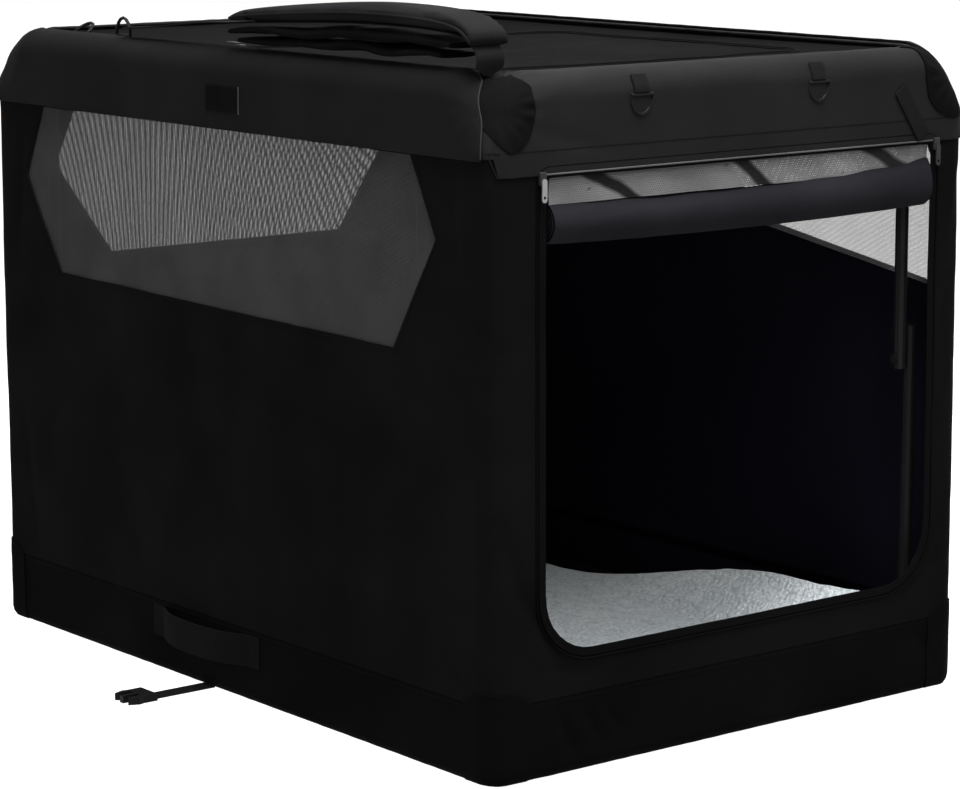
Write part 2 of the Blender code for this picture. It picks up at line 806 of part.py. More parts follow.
make_base_frame()
make_top_frame()
for corner_name, corner_side, corner_end in CORNERS:
    make_lower_leg(corner_name, corner_side, corner_end)
    make_upper_leg(corner_name, corner_side, corner_end)


# Base: cloth floor, board, band and corner patches


def make_floor():
    inset = SKIN_INSET + HEM_BEND + HEM_LIP + GAP
    bend = EDGE_BEND
    half_x = HALF_X - inset
    half_y = HALF_Y - inset
    outline = rounded_outline((-half_x, -half_y), (half_x, half_y), [bend] * 4)
    finish(plate(outline, 0, BASE_CLOTH, "z"), "base_floor", "band_cloth")
    half_x = HALF_X - SKIN_INSET - HEM_BEND
    half_y = HALF_Y - SKIN_INSET - HEM_BEND
    outline = rounded_outline((-half_x, -half_y), (half_x, half_y), [bend] * 4)
    board_low = BASE_CLOTH + GAP
    finish(plate(outline, board_low, board_low + BOARD, "z"), "floor_board", "hardboard")


def make_base_band():
    rows = between(HEM_BEND - HEM_ARC - HEM_LIP, HEM_BEND - HEM_ARC, (0, 1))
    rows += between(HEM_BEND - HEM_ARC, HEM_BEND, HEM_SHARES)
    rows += [BASE_SEAM]
    cloth("base_band", whole_round(), rows, 0, CLOTH, "band_cloth", closed=True)


def patch_stations(number, reach, steps=2):
    """The stations of a corner patch: a short run, the corner, a short run."""
    before = SIDES[(number - 1) % 4]
    after = SIDES[number % 4]
    length = straight_length(before)
    lead = [length - reach * (steps - n) / steps for n in range(steps)]
    tail = [reach * (n + 1) / steps for n in range(steps)]
    return run(before, lead) + corner_arc(number) + run(after, tail)


CORNER_NAMES = ("rear_right", "rear_left", "front_left", "front_right")
PATCH_ROW_SHARES = (0, 0.5, 1)
HUMP_SHARES = (0.0, 0.55, 0.85, 0.95, 1.0, 1.0, 1.0, 0.95, 0.85, 0.55, 0.0)


def make_base_patches():
    for number, name in enumerate(CORNER_NAMES):
        stations = patch_stations(number, BASE_PATCH_REACH - EDGE_BEND)

        def heights(count):
            top = BASE_SEAM - GAP + BASE_PATCH_RISE * HUMP_SHARES[count]
            rows = between(HEM_BEND - HEM_ARC / 2, HEM_BEND, PATCH_ROW_SHARES)
            return rows + between(HEM_BEND, top, PATCH_ROW_SHARES[1:])

        cloth("base_patch_" + name, stations, heights, BASE_PATCH_GAP + PATCH, PATCH, "band_cloth")


make_floor()
make_base_band()
make_base_patches()


# Walls with their openings, and the mesh behind the windows


def window_cutter(name, outline, side):
    """A prism through one wall; outline is (along, z), along is y on a long side and x on an end."""
    if side in ("left", "right"):
        sign = -1 if side == "left" else 1
        low = min(sign * (HALF_X - OVERRUN), sign * (HALF_X + OVERRUN))
        return finish(plate(outline, low, low + 2 * OVERRUN, "x"), name, "mesh_cloth")
    sign = -1 if side == "front" else 1
    low = min(sign * (HALF_Y - OVERRUN), sign * (HALF_Y + OVERRUN))
    return finish(plate(outline, low, low + 2 * OVERRUN, "y"), name, "mesh_cloth")


def grow(outline, amount):
    """Move each point of a convex outline out from the middle by about an amount."""
    middle = Vector((0, 0))
    for point in outline:
        middle += Vector(point) / len(outline)
    grown = []
    for point in outline:
        away = Vector(point) - middle
        step = Vector((math.copysign(amount, away.x), math.copysign(amount, away.y)))
        grown.append(tuple(Vector(point) + step))
    return grown


def mesh_panel(name, outline, side):
    """The mesh sewn behind a window's cut edge."""
    deep = SKIN_INSET + CLOTH + GAP
    outline = grow(outline, MESH_SEAM)
    if side in ("left", "right"):
        sign = -1 if side == "left" else 1
        face = sign * (HALF_X - deep)
        low = min(face, face - sign * MESH)
        return finish(plate(outline, low, low + MESH, "x"), name, "mesh_cloth")
    face = HALF_Y - deep
    return finish(plate(outline, face - MESH, face, "y"), name, "mesh_cloth")


WALL_SHARES = (0.35, 0.7, 0.86, 0.93)
WALL_ROWS = [BASE_SEAM + GAP] + between(BASE_SEAM, TOP_SEAM, WALL_SHARES) + [TOP_SEAM - GAP]
LEFT_WINDOW = [
    (WINDOW_CENTRE + WINDOW_TOP_HALF, WINDOW_TOP),
    (WINDOW_CENTRE + WINDOW_WIDE_HALF, WINDOW_WIDE),
    (WINDOW_CENTRE + WINDOW_LOW_HALF, WINDOW_LOW),
    (WINDOW_CENTRE - WINDOW_LOW_HALF, WINDOW_LOW),
    (WINDOW_CENTRE - WINDOW_WIDE_HALF, WINDOW_WIDE),
    (WINDOW_CENTRE - WINDOW_TOP_HALF, WINDOW_TOP),
]
REAR_WINDOW = [
    (REAR_TOP_HALF, WINDOW_TOP),
    (REAR_WIDE_HALF, WINDOW_WIDE),
    (REAR_LOW_HALF, WINDOW_LOW),
    (-REAR_LOW_HALF, WINDOW_LOW),
    (-REAR_WIDE_HALF, WINDOW_WIDE),
    (-REAR_TOP_HALF, WINDOW_TOP),
]
RIGHT_SLOPE = RIGHT_WIDE - RIGHT_LOW_REAR
RIGHT_WINDOW = [
    (RIGHT_FRONT, RIGHT_WIDE),
    (RIGHT_FRONT, RIGHT_LOW_FRONT),
    (RIGHT_REAR - RIGHT_SLOPE, RIGHT_LOW_REAR),
    (RIGHT_REAR, RIGHT_WIDE),
    (RIGHT_REAR - RIGHT_SLOPE / 2, WINDOW_TOP),
    (RIGHT_FRONT + RIGHT_SLOPE / 2, WINDOW_TOP),
]
DOOR_OUTLINE = rounded_outline(
    (DOOR_CENTRE - DOOR_HALF, DOOR_LOW),
    (DOOR_CENTRE + DOOR_HALF, DOOR_HIGH),
    (DOOR_TOP_BEND, DOOR_TOP_BEND, DOOR_BEND, DOOR_BEND),
    CORNER_STEPS,
)


def make_wall(side, outline):
    wall = cloth(side + "_wall", side_stations(side), WALL_ROWS, 0, CLOTH, "wall_cloth", trim=GAP / 2)
    combine(wall, [window_cutter("cutter", outline, side)], "DIFFERENCE")


make_wall("left", LEFT_WINDOW)
make_wall("right", RIGHT_WINDOW)
make_wall("rear", REAR_WINDOW)
make_wall("front", DOOR_OUTLINE)
mesh_panel("left_window_mesh", LEFT_WINDOW, "left")
mesh_panel("right_window_mesh", RIGHT_WINDOW, "right")
mesh_panel("rear_window_mesh", REAR_WINDOW, "rear")


# Rolled door, tied up under the top seam


def make_door_roll():
    """The rolled cloth as one spiral sheet, open at both ends."""
    pitch = ROLL_SHEET + ROLL_AIR
    turns = (ROLL - ROLL_CORE - ROLL_SHEET) / pitch
    count = int(turns * ROLL_STEPS)
    middle_y = -HALF_Y + ROLL_BACK
    outside = []
    inside = []
    for n in range(count + 1):
        angle = 2 * math.pi * (ROLL_FIRST_SHARE + n / ROLL_STEPS)
        radius = ROLL - pitch * n / ROLL_STEPS
        for reach, line in ((radius, outside), (radius - ROLL_SHEET, inside)):
            line.append((middle_y + reach * math.cos(angle), ROLL_Z + reach * math.sin(angle)))
    low = DOOR_CENTRE - DOOR_HALF + ROLL_END_GAP
    high = DOOR_CENTRE + DOOR_HALF - ROLL_END_GAP
    shape = bmesh.new()
    rows = []
    for x in (low, high):
        rows.append([
            [shape.verts.new((x, y, z)) for y, z in line] for line in (outside, inside)
        ])
    for n in range(count):
        for line in (0, 1):
            a, b = rows[0][line][n], rows[0][line][n + 1]
            c, d = rows[1][line][n + 1], rows[1][line][n]
            shape.faces.new((a, b, c, d))
        for end in (0, 1):
            a, b = rows[end][0][n], rows[end][0][n + 1]
            c, d = rows[end][1][n + 1], rows[end][1][n]
            shape.faces.new((a, b, c, d))
    for n in (0, count):
        shape.faces.new((rows[0][0][n], rows[1][0][n], rows[1][1][n], rows[0][1][n]))
    print("least gap between turns of the door roll:", round(ROLL_AIR * 1000, 2), "mm")
    finish(shape, "door_roll", "wall_cloth")


def make_door_strip():
    """The mesh top of the door, between the seam and the roll, in shallow waves."""
    face = -HALF_Y + SKIN_INSET + CLOTH + GAP
    back = ROLL_BACK - (face + HALF_Y) - MESH - 2 * STRIP_WAVE
    low = ROLL_Z + math.sqrt(ROLL ** 2 - back ** 2) + 2 * GAP
    high = DOOR_HIGH + STRIP_RISE
    left = DOOR_CENTRE - DOOR_HALF + ROLL_END_GAP
    right = DOOR_CENTRE + DOOR_HALF - ROLL_END_GAP
    columns = STRIP_WAVES * 4
    outer = []
    inner = []
    for n in range(columns + 1):
        x = left + (right - left) * n / columns
        bulge = STRIP_WAVE * (1 + math.sin(2 * math.pi * STRIP_WAVES * n / columns))
        outer.append([])
        inner.append([])
        for share in STRIP_ROW_SHARES:
            y = face + bulge * (1 - share * share)
            z = low + (high - low) * share
            outer[-1].append(Vector((x, y, z)))
            inner[-1].append(Vector((x, y + MESH, z)))
    finish(shell(outer, inner, False), "door_mesh", "mesh_cloth")


make_door_roll()
make_door_strip()


# Top: border over the roll, long flaps, corner patches, roof and its door


def patch_lows():
    """The low edge of a top patch, station by station, from the long side round to the end wall."""
    rise = FLAP_HIGH - TOP_PATCH_SIDE_LOW
    along = [TOP_PATCH_SIDE_LOW + rise * share for share in reversed(REACH_SHARES)]
    fall = TOP_PATCH_LOW - TOP_PATCH_SIDE_LOW
    corner = [TOP_PATCH_SIDE_LOW + fall * n / CORNER_STEPS for n in range(CORNER_STEPS + 1)]
    end = [TOP_PATCH_LOW + (FLAP_HIGH - TOP_PATCH_LOW) * share ** 2 for share in REACH_SHARES]
    return along + corner + end


def make_border():
    cloth("top_border", whole_round(), BORDER_ROWS, 0, CLOTH, "band_cloth", closed=True)


def make_flap(side):
    """The long flap over a side window's top seam: it ends round the corner, under the patches."""
    number = SIDES.index(side)
    stations = corner_arc(number)[-2:] + run(side) + corner_arc(number + 1)[:2]
    falling = list(reversed(patch_lows()[:5]))
    tops = falling + [FLAP_HIGH] * (len(stations) - 2 * len(falling)) + list(reversed(falling))

    def heights(count):
        top = tops[count] - PATCH_GAP
        rows = [min(row, top - GAP * (3 - n)) for n, row in enumerate(BORDER_ROWS[:3])]
        return [FLAP_LOW] + rows + [top]

    cloth(side + "_flap", stations, heights, PATCH_LIFT, PATCH, "band_cloth")


def make_top_patches():
    """Corner patches: high on the long side, where the flap ends, and low on the end wall."""
    for number, name in enumerate(CORNER_NAMES):
        stations = patch_stations(number, TOP_PATCH_REACH, 3)
        lows = patch_lows()
        if SIDES[(number - 1) % 4] in ("rear", "front"):
            lows.reverse()

        def heights(count):
            low = lows[count]
            rows = [low] + [max(row, low + GAP * n) for n, row in enumerate(BORDER_ROWS[1:3], 1)]
            return rows + BORDER_ROWS[3:-1] + [BORDER_ROWS[-2] + BORDER_LIP * PATCH_LIP_SHARE]

        cloth("top_patch_" + name, stations, heights, PATCH_LIFT, PATCH, "band_cloth")


def roof_height(x, y):
    """The roof hangs a little between its edges."""
    share_x = min(abs(x) / HALF_X, 1)
    share_y = min(abs(y) / HALF_Y, 1)
    return ROLL_START + ROLL_BEND - ROOF_SAG * (1 - share_x ** 4) * (1 - share_y ** 4)


def roof_sheet(name):
    """The whole roof cloth inside the border, hung between its edges."""
    inset = level(ROLL_START + ROLL_ARC + BORDER_LIP)[1] + GAP
    edge = []
    for station in whole_round():
        flat = station(SKIN_INSET + inset)[0]
        edge.append(soften(Vector((flat.x, flat.y, ROLL_START + ROLL_BEND))))
    shape = bmesh.new()
    layers = []
    for drop in (0.0, CLOTH):
        rings = []
        for share in ROOF_RING_SHARES:
            ring = []
            for point in edge:
                x = point.x * share
                y = point.y * share
                z = point.z if share == 1 else roof_height(x, y)
                ring.append(shape.verts.new((x, y, z - drop)))
            rings.append(ring)
        layers.append((rings, shape.verts.new((0, 0, roof_height(0, 0) - drop))))
    count = len(edge)
    for n in range(count):
        k = (n + 1) % count
        for rings, centre in layers:
            for a, b in zip(rings, rings[1:]):
                shape.faces.new((a[n], a[k], b[k], b[n]))
            shape.faces.new((rings[-1][n], rings[-1][k], centre))
        top = layers[0][0][0]
        bottom = layers[1][0][0]
        shape.faces.new((bottom[n], bottom[k], top[k], top[n]))
    return finish(shape, name, "band_cloth")


def roof_cutter(smaller):
    """A prism with the roof door's outline, made smaller all round by a gap."""
    low = (-ROOF_DOOR_HALF_X + smaller, ROOF_DOOR_FRONT + smaller)
    high = (ROOF_DOOR_HALF_X - smaller, ROOF_DOOR_REAR - smaller)
    outline = rounded_outline(low, high, [ROOF_DOOR_BEND - smaller] * 4)
    return finish(plate(outline, TOP_LOOP_Z, HEIGHT + OVERRUN, "z"), "cutter", "band_cloth")


def make_roof():
    """One roof cloth, parted by the zip line into the roof and its door."""
    combine(roof_sheet("roof_panel"), [roof_cutter(0)], "DIFFERENCE")
    door = combine(roof_sheet("roof_door"), [roof_cutter(ROOF_DOOR_GAP)], "INTERSECT")
    pivot = Vector((0, ROOF_DOOR_REAR, roof_height(ROOF_DOOR_HALF_X, ROOF_DOOR_REAR)))
    door.data.transform(Matrix.Translation(-pivot))
    door.location = pivot


make_border()
make_flap("left")
make_flap("right")
make_top_patches()
make_roof()


# Floor mat: a crowned fleece cushion with drawn-in sides


def make_mat():
    low = BASE_CLOTH + GAP + BOARD + GAP
    around = []
    outline = rounded_outline((-MAT_HALF_X, -MAT_HALF_Y), (MAT_HALF_X, MAT_HALF_Y), [MAT_BEND] * 4)
    count = len(outline)
    for n in range(count):
        here = Vector(outline[n])
        there = Vector(outline[(n + 1) % count])
        parts = MAT_PARTS if (there - here).length > MAT_BEND else 1
        for part in range(parts):
            spot = here.lerp(there, part / parts)
            on_side = abs(spot.x) > MAT_HALF_X - MAT_BEND * MAT_SIDE_SHARE
            sway = 1 - (abs(spot.y) / MAT_HALF_Y if on_side else abs(spot.x) / MAT_HALF_X) ** 2
            spot = spot * (1 - sway * MAT_PINCH / MAT_HALF_X)
            around.append(spot)
    shape = bmesh.new()
    rings = []
    for share, rise in MAT_SIDE_SHARES:
        rings.append([shape.verts.new((p.x * share, p.y * share, low + MAT_EDGE * rise)) for p in around])
    for share, rise in MAT_TOP_SHARES:
        z = low + MAT_EDGE + (MAT_CROWN - MAT_EDGE) * rise
        rings.append([shape.verts.new((p.x * share, p.y * share, z)) for p in around])
    crown = shape.verts.new((0, 0, low + MAT_CROWN))
    count = len(around)
    for upper in range(1, len(rings)):
        for n in range(count):
            k = (n + 1) % count
            below = rings[upper - 1]
            above = rings[upper]
            shape.faces.new((below[n], below[k], above[k], above[n]))
    for n in range(count):
        shape.faces.new((rings[-1][n], rings[-1][(n + 1) % count], crown))
    shape.faces.new(list(reversed(rings[0])))
    finish(shape, "fleece_mat", "fleece")


make_mat()


# Rings, tabs, shoulder strap and handles


def ring_path(half, drop, bar, down, along, steps=RING_STEPS):
    """A D ring: a straight bar and a half-oval hanging from it."""
    path = []
    for n in range(steps + 1):
        angle = math.pi * n / steps
        path.append(bar + along * (half * math.cos(angle)) + down * (drop * math.sin(angle)))
    return path


def edge_spot(side, along):
    """A station on a side at a given x or y."""
    length = straight_length(side)
    signs = {"rear": -1, "left": -1, "front": 1, "right": 1}
    return length / 2 + signs[side] * along


def make_tab(name, side, along, low, material="webbing"):
    """A short loop of webbing sewn over the roll, which holds a ring's bar at its low edge."""
    middle = edge_spot(side, along)
    stations = run(side, [middle - TAB_HALF, middle, middle + TAB_HALF])
    high = low + TAB_LONG
    rows = [low] + [row for row in BORDER_ROWS if low < row < high] + [high]
    cloth(name, stations, rows, GAP + TAB_THICK, TAB_THICK, material)


def make_front_ring(name, x):
    bar_z = ROLL_START - RING_WIRE - GAP
    bar = Vector((x, -WALL_FACE_Y - GAP - RING_WIRE, bar_z))
    path = ring_path(RING_HALF, RING_DROP, bar, Vector((0, 0, -1)), Vector((1, 0, 0)))
    bent_tube(name + "_ring", path, Vector((0, 1, 0)), RING_WIRE, WIRE_SIDES, "moulding", bar)
    make_tab(name + "_tab", "front", x, ROLL_START)


make_front_ring("front_left", FRONT_RING_LEFT)
make_front_ring("front_right", FRONT_RING_RIGHT)

RING_LEAN = math.radians(35)


def make_side_ring():
    """The spare ring on the long edge: it leans in over the roof."""
    low = ROLL_START + ROLL_ARC / 3
    make_tab("side_tab", "left", SIDE_RING, low)
    end = skin_point(run("left", [edge_spot("left", SIDE_RING)])[0], low + TAB_LONG, GAP + RING_WIRE)
    bar = end + Vector((GAP + RING_WIRE, 0, GAP))
    down = Vector((math.cos(RING_LEAN), 0, math.sin(RING_LEAN)))
    path = ring_path(RING_HALF, RING_DROP, bar, down, Vector((0, 1, 0)))
    up = Vector((-math.sin(RING_LEAN), 0, math.cos(RING_LEAN)))
    bent_tube("side_ring", path, up, RING_WIRE, WIRE_SIDES, "moulding", bar)


make_side_ring()

RING_BAR_Z = HEIGHT + GAP + RING_WIRE
RING_MIDDLE_SHARE = 0.85
STRAP_LOW = RING_BAR_Z + RING_DROP / 2
STRAP_PIVOT = Vector((STRAP_X, STRAP_REAR, RING_BAR_Z))
STRAP_SHARES = (
    (0.00, 0.00), (0.11, 0.00), (0.27, 0.30), (0.40, 0.62), (0.53, 0.90),
    (0.69, 1.00), (0.84, 0.92), (0.94, 0.70), (0.985, 0.38), (1.00, 0.05),
)


def strap_line():
    """The strap's own line: from the ring up over the arch and down to its sewn end."""
    rise = STRAP_PEAK - STRAP_LOW
    line = [
        Vector((STRAP_X, STRAP_REAR + (STRAP_FRONT - STRAP_REAR) * along, STRAP_LOW + rise * up))
        for along, up in STRAP_SHARES
    ]
    inner = STRAP_X + STRAP_TIP / 2
    seat = soften(Vector((inner, STRAP_FRONT + STRAP_TAPER, HEIGHT))).z + GAP
    line.append(Vector((STRAP_X, STRAP_FRONT + STRAP_TAPER / 2, seat)))
    return line


def make_strap():
    """The webbing: its two ends narrow where they are sewn."""
    path = smooth_path(strap_line(), STRAP_STEPS)
    count = len(path)
    widths = []
    for n in range(count):
        from_rear = (path[n] - path[0]).length
        from_front = (path[n] - path[-1]).length
        share = min(from_rear / STRAP_TAPER, from_front / STRAP_TAPER, 1)
        widths.append(STRAP_TIP + (WEB_WIDE - STRAP_TIP) * share)
    ribbon("shoulder_strap", path, (1, 0, 0), widths, [WEB] * count, "webbing", STRAP_PIVOT)


def make_pad():
    """The arched pad over the strap: widest and thickest in the middle."""
    along_strap = smooth_path(strap_line(), STRAP_STEPS)
    chosen = [p for p in along_strap[:-3 * STRAP_STEPS] if p.y < PAD_REAR]
    count = len(chosen)
    path = []
    widths = []
    thick = []
    for n, point in enumerate(chosen):
        share = n / (count - 1)
        swell = math.sin(math.pi * share) ** 0.5 if 0 < share < 1 else 0.0
        depth = PAD_THICK * (PAD_END_THICK_SHARE + (1 - PAD_END_THICK_SHARE) * swell)
        before = chosen[max(n - 1, 0)]
        after = chosen[min(n + 1, count - 1)]
        out = Vector((1, 0, 0)).cross((after - before).normalized())
        out = -out if out.z < 0 else out
        path.append(point + out * (WEB / 2 + 2 * GAP + depth * (1 + PAD_CROWN_SHARE) / 2))
        widths.append(PAD_WIDE * (PAD_END_WIDE_SHARE + (1 - PAD_END_WIDE_SHARE) * swell))
        thick.append(depth)
    ribbon(
        "shoulder_pad", path, (1, 0, 0), widths, thick, "band_cloth", STRAP_PIVOT, crown=PAD_CROWN_SHARE
    )


def make_strap_ring():
    """The ring that holds the strap's rear end: its bar lies on the tab and it stands up."""
    ring_y = STRAP_REAR + 2 * GAP + RING_WIRE + RING_HALF * RING_MIDDLE_SHARE
    bar = Vector((STRAP_X, ring_y, RING_BAR_Z))
    path = ring_path(RING_HALF, RING_DROP, bar, Vector((0, 0, 1)), Vector((0, 1, 0)))
    bent_tube("strap_ring", path, Vector((1, 0, 0)), RING_WIRE, WIRE_SIDES, "moulding", STRAP_PIVOT)
    make_tab("strap_tab", "left", bar.y, ROLL_START + ROLL_ARC / 2)


make_strap()
make_pad()
make_strap_ring()


def make_handle(name, side):
    """A webbing grip sewn to the base band at both ends and bowed out between them."""
    face = WALL_FACE_X + GAP + WEB / 2
    middle_z = (HANDLE_LOW + HANDLE_HIGH) / 2
    sewn = 1 - HANDLE_END / HANDLE_HALF
    spots = (
        (-1, 0), (-sewn, 0), (-HANDLE_BEND_SHARE, HANDLE_BOW_SHARE),
        (0, 1), (HANDLE_BEND_SHARE, HANDLE_BOW_SHARE), (sewn, 0), (1, 0),
    )
    known = [
        Vector((side * (face + HANDLE_BOW * bow), HANDLE_CENTRE + HANDLE_HALF * along, middle_z))
        for along, bow in spots
    ]
    path = smooth_path(known, HANDLE_STEPS)
    for point in path:
        if side * point.x < face:
            point.x = side * face
    count = len(path)
    pivot = (side * (WALL_FACE_X + GAP), HANDLE_CENTRE, HANDLE_HIGH)
    width = HANDLE_HIGH - HANDLE_LOW
    ribbon(name, path, (0, 0, 1), [width] * count, [WEB] * count, "webbing", pivot)


make_handle("left_handle", -1)
make_handle("right_handle", 1)


# Tie strap, label tab and closure straps


def make_tie():
    """The strap that ties the rolled door up, sewn to the border and running down to the seam."""
    lean = Vector((TIE_LOW_X - TIE_HIGH_X, 0, TIE_LOW_Z - TIE_HIGH_Z))
    square = Vector((lean.z, 0, -lean.x)).normalized() * TIE_HALF
    high = Vector((TIE_HIGH_X, 0, TIE_HIGH_Z))
    low = high + lean
    outline = [(p.x, p.z) for p in (high - square, high + square, low + square, low - square)]
    face = -WALL_FACE_Y - GAP
    finish(plate(outline, face - WEB, face, "y"), "door_tie", "webbing")


def make_label():
    middle = edge_spot("left", LABEL_CENTRE)
    stations = run("left", [middle - LABEL_HALF, middle + LABEL_HALF])
    lift = PATCH_LIFT + GAP + LABEL_THICK
    cloth("label_tab", stations, [LABEL_LOW, LABEL_HIGH], lift, LABEL_THICK, "moulding")


def closure_outline(side, start, end, half):
    return [
        (side * start, CLOSURE_Y - half), (side * end, CLOSURE_Y - half),
        (side * end, CLOSURE_Y + half), (side * start, CLOSURE_Y + half),
    ]


CLOSURE_END = HALF_X + CLOSURE_LONG


def make_closure(side, name):
    """A strap sewn under the hem that lies out on the floor."""
    start = HALF_X - SKIN_INSET - HEM_BEND * CLOSURE_TUCK_SHARE
    outline = closure_outline(side, start, CLOSURE_END, CLOSURE_HALF)
    pivot = (side * start, CLOSURE_Y, WEB)
    finish(plate(outline, FLOOR_AIR, FLOOR_AIR + WEB, "z"), name, "webbing", pivot)
    return pivot


def make_male_buckle(pivot):
    """The half with two spring prongs and a middle tongue."""
    start = CLOSURE_END + GAP
    step = BUCKLE_HALF * BUCKLE_STEP_SHARE
    near = start + BUCKLE_LONG - PRONG_LONG
    bulge = near + PRONG_LONG * PRONG_BULGE_SHARE
    far = start + BUCKLE_LONG
    shape = [
        (start, -BUCKLE_HALF), (near, -BUCKLE_HALF), (bulge, -BUCKLE_HALF - step / 2),
        (far, -BUCKLE_HALF + step), (far - step, -BUCKLE_HALF + 2 * step), (near, -BUCKLE_HALF + 2 * step),
        (near, -step), (far, -step), (far, step), (near, step),
        (near, BUCKLE_HALF - 2 * step), (far - step, BUCKLE_HALF - 2 * step), (far, BUCKLE_HALF - step),
        (bulge, BUCKLE_HALF + step / 2), (near, BUCKLE_HALF), (start, BUCKLE_HALF),
    ]
    outline = [(-x, CLOSURE_Y + y) for x, y in shape]
    solid = plate(outline, FLOOR_AIR, FLOOR_AIR + BUCKLE_THICK, "z")
    finish(solid, "male_buckle", "moulding", pivot)


def make_female_buckle(pivot):
    """The half with the pocket that the prongs click into, open at its far end."""
    start = CLOSURE_END + GAP
    end = start + BUCKLE_LONG
    wall = BUCKLE_THICK * BUCKLE_STEP_SHARE
    outline = closure_outline(1, start, end, BUCKLE_HALF + wall)
    solid = plate(outline, FLOOR_AIR, FLOOR_AIR + BUCKLE_THICK + 2 * wall, "z")
    body = finish(solid, "female_buckle", "moulding", pivot)
    pocket = box_object(
        "pocket",
        (start + BUCKLE_LONG * POCKET_START_SHARE, CLOSURE_Y - BUCKLE_HALF, FLOOR_AIR + wall),
        (end + OVERRUN, CLOSURE_Y + BUCKLE_HALF, FLOOR_AIR + wall + BUCKLE_THICK),
    )
    combine(body, [pocket], "DIFFERENCE")


make_tie()
make_label()
make_male_buckle(make_closure(-1, "left_closure_strap"))
make_female_buckle(make_closure(1, "right_closure_strap"))


# Zip sliders and their pulls


def make_slider(name, centre, out, along):
    """A zip slider as a small block with rounded edges; out is the way it faces."""
    across = out.cross(along)
    shape = bmesh.new()
    made = bmesh.ops.create_cube(shape, size=1)["verts"]
    bmesh.ops.scale(shape, verts=made, vec=(2 * SLIDER_HALF, SLIDER_LONG, SLIDER_THICK))
    bmesh.ops.bevel(
        shape, geom=list(shape.edges), offset=SLIDER_THICK / 4, segments=2, profile=0.5,
        affect="EDGES", material=-1,
    )
    turn = Matrix((across, along, out)).transposed().to_4x4()
    bmesh.ops.transform(shape, matrix=Matrix.Translation(centre) @ turn, verts=shape.verts)
    finish(shape, name, "zinc", centre)


def make_pull(name, hinge, out, along):
    """A flat pull with an eye at each end, lying along the zip in front of its slider."""
    across = out.cross(along)
    long = PULL_LONG
    bends = [PULL_HALF * PULL_BEND_SHARE] * 4
    outline = rounded_outline((-PULL_HALF, -long), (PULL_HALF, 0), bends, PULL_STEPS)
    shape = plate(outline, 0, PULL_THICK, "z")
    turn = Matrix((across, along, out)).transposed().to_4x4()
    bmesh.ops.transform(shape, matrix=Matrix.Translation(hinge) @ turn, verts=shape.verts)
    pull = finish(shape, name, "zinc", hinge)
    eye = hinge - along * (long - PULL_EYE_SHARE * PULL_HALF)
    hole = rod("hole", eye - out * OVERRUN, eye + out * OVERRUN, PULL_HOLE, "zinc", HOLE_SIDES)
    combine(pull, [hole], "DIFFERENCE")


def make_door_zip(name, x):
    out = Vector((0, -1, 0))
    along = Vector((0, 0, 1))
    face = -WALL_FACE_Y - GAP
    centre = Vector((x, face - SLIDER_THICK / 2, SLIDER_Z))
    make_slider(name + "_slider", centre, out, along)
    hinge = Vector((x, face - SLIDER_THICK - GAP, SLIDER_Z))
    make_pull(name + "_pull", hinge, out, along)


def make_roof_zip():
    x = -ROOF_DOOR_HALF_X - SLIDER_HALF
    top = roof_height(x, ROOF_SLIDER_END - SLIDER_LONG / 2) + GAP + ROOF_SLIDER_AIR
    out = Vector((0, 0, 1))
    along = Vector((0, -1, 0))
    make_slider("roof_zip_slider", Vector((x, ROOF_SLIDER_Y, top + SLIDER_THICK / 2)), out, along)
    make_pull("roof_zip_pull", Vector((x, ROOF_SLIDER_Y, top + SLIDER_THICK + GAP)), out, along)


make_door_zip("left_zip", SLIDER_LEFT)
make_door_zip("right_zip", SLIDER_RIGHT)
make_roof_zip()
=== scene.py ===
# %% [markdown]
# # A soft folding dog crate
# A black polyester cover is stretched over a folding frame of steel tube. The CAD says where everything
# is, and the cells below make what the eye sees. Cloth could be sculpted in place. Here each piece is cut
# flat, its openings are cut out of it, and it is wrapped on to one shared surface, as the real one is
# sewn, so that pieces sewn over each other keep their distance and fold together.

# %% Load the frame and note the size of the CAD part
import math

import bmesh
import bpy
from mathutils import Matrix, Vector, noise


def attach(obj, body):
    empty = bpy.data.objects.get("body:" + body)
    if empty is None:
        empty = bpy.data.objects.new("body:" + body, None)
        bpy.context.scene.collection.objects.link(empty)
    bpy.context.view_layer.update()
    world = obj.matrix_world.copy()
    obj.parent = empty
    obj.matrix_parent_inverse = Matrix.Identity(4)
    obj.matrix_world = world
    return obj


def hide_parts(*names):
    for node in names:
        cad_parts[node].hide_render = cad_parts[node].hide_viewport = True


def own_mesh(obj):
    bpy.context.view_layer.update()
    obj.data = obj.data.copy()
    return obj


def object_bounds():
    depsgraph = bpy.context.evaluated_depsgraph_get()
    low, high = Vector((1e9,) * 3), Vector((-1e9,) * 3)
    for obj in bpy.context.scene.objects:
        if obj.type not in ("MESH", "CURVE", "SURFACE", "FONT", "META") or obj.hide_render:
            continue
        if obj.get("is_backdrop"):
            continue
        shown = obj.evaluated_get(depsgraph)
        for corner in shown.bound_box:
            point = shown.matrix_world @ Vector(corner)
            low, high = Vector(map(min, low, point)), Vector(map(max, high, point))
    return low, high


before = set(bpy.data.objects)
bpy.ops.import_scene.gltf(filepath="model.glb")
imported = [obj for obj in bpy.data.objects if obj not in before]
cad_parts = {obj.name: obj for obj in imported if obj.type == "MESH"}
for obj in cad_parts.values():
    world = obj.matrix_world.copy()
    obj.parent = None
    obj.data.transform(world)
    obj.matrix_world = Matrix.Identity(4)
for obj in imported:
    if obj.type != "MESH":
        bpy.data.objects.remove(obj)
CAD_BOX = [list(corner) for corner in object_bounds()]
print("CAD box in metres:", [[round(value, 4) for value in corner] for corner in CAD_BOX])

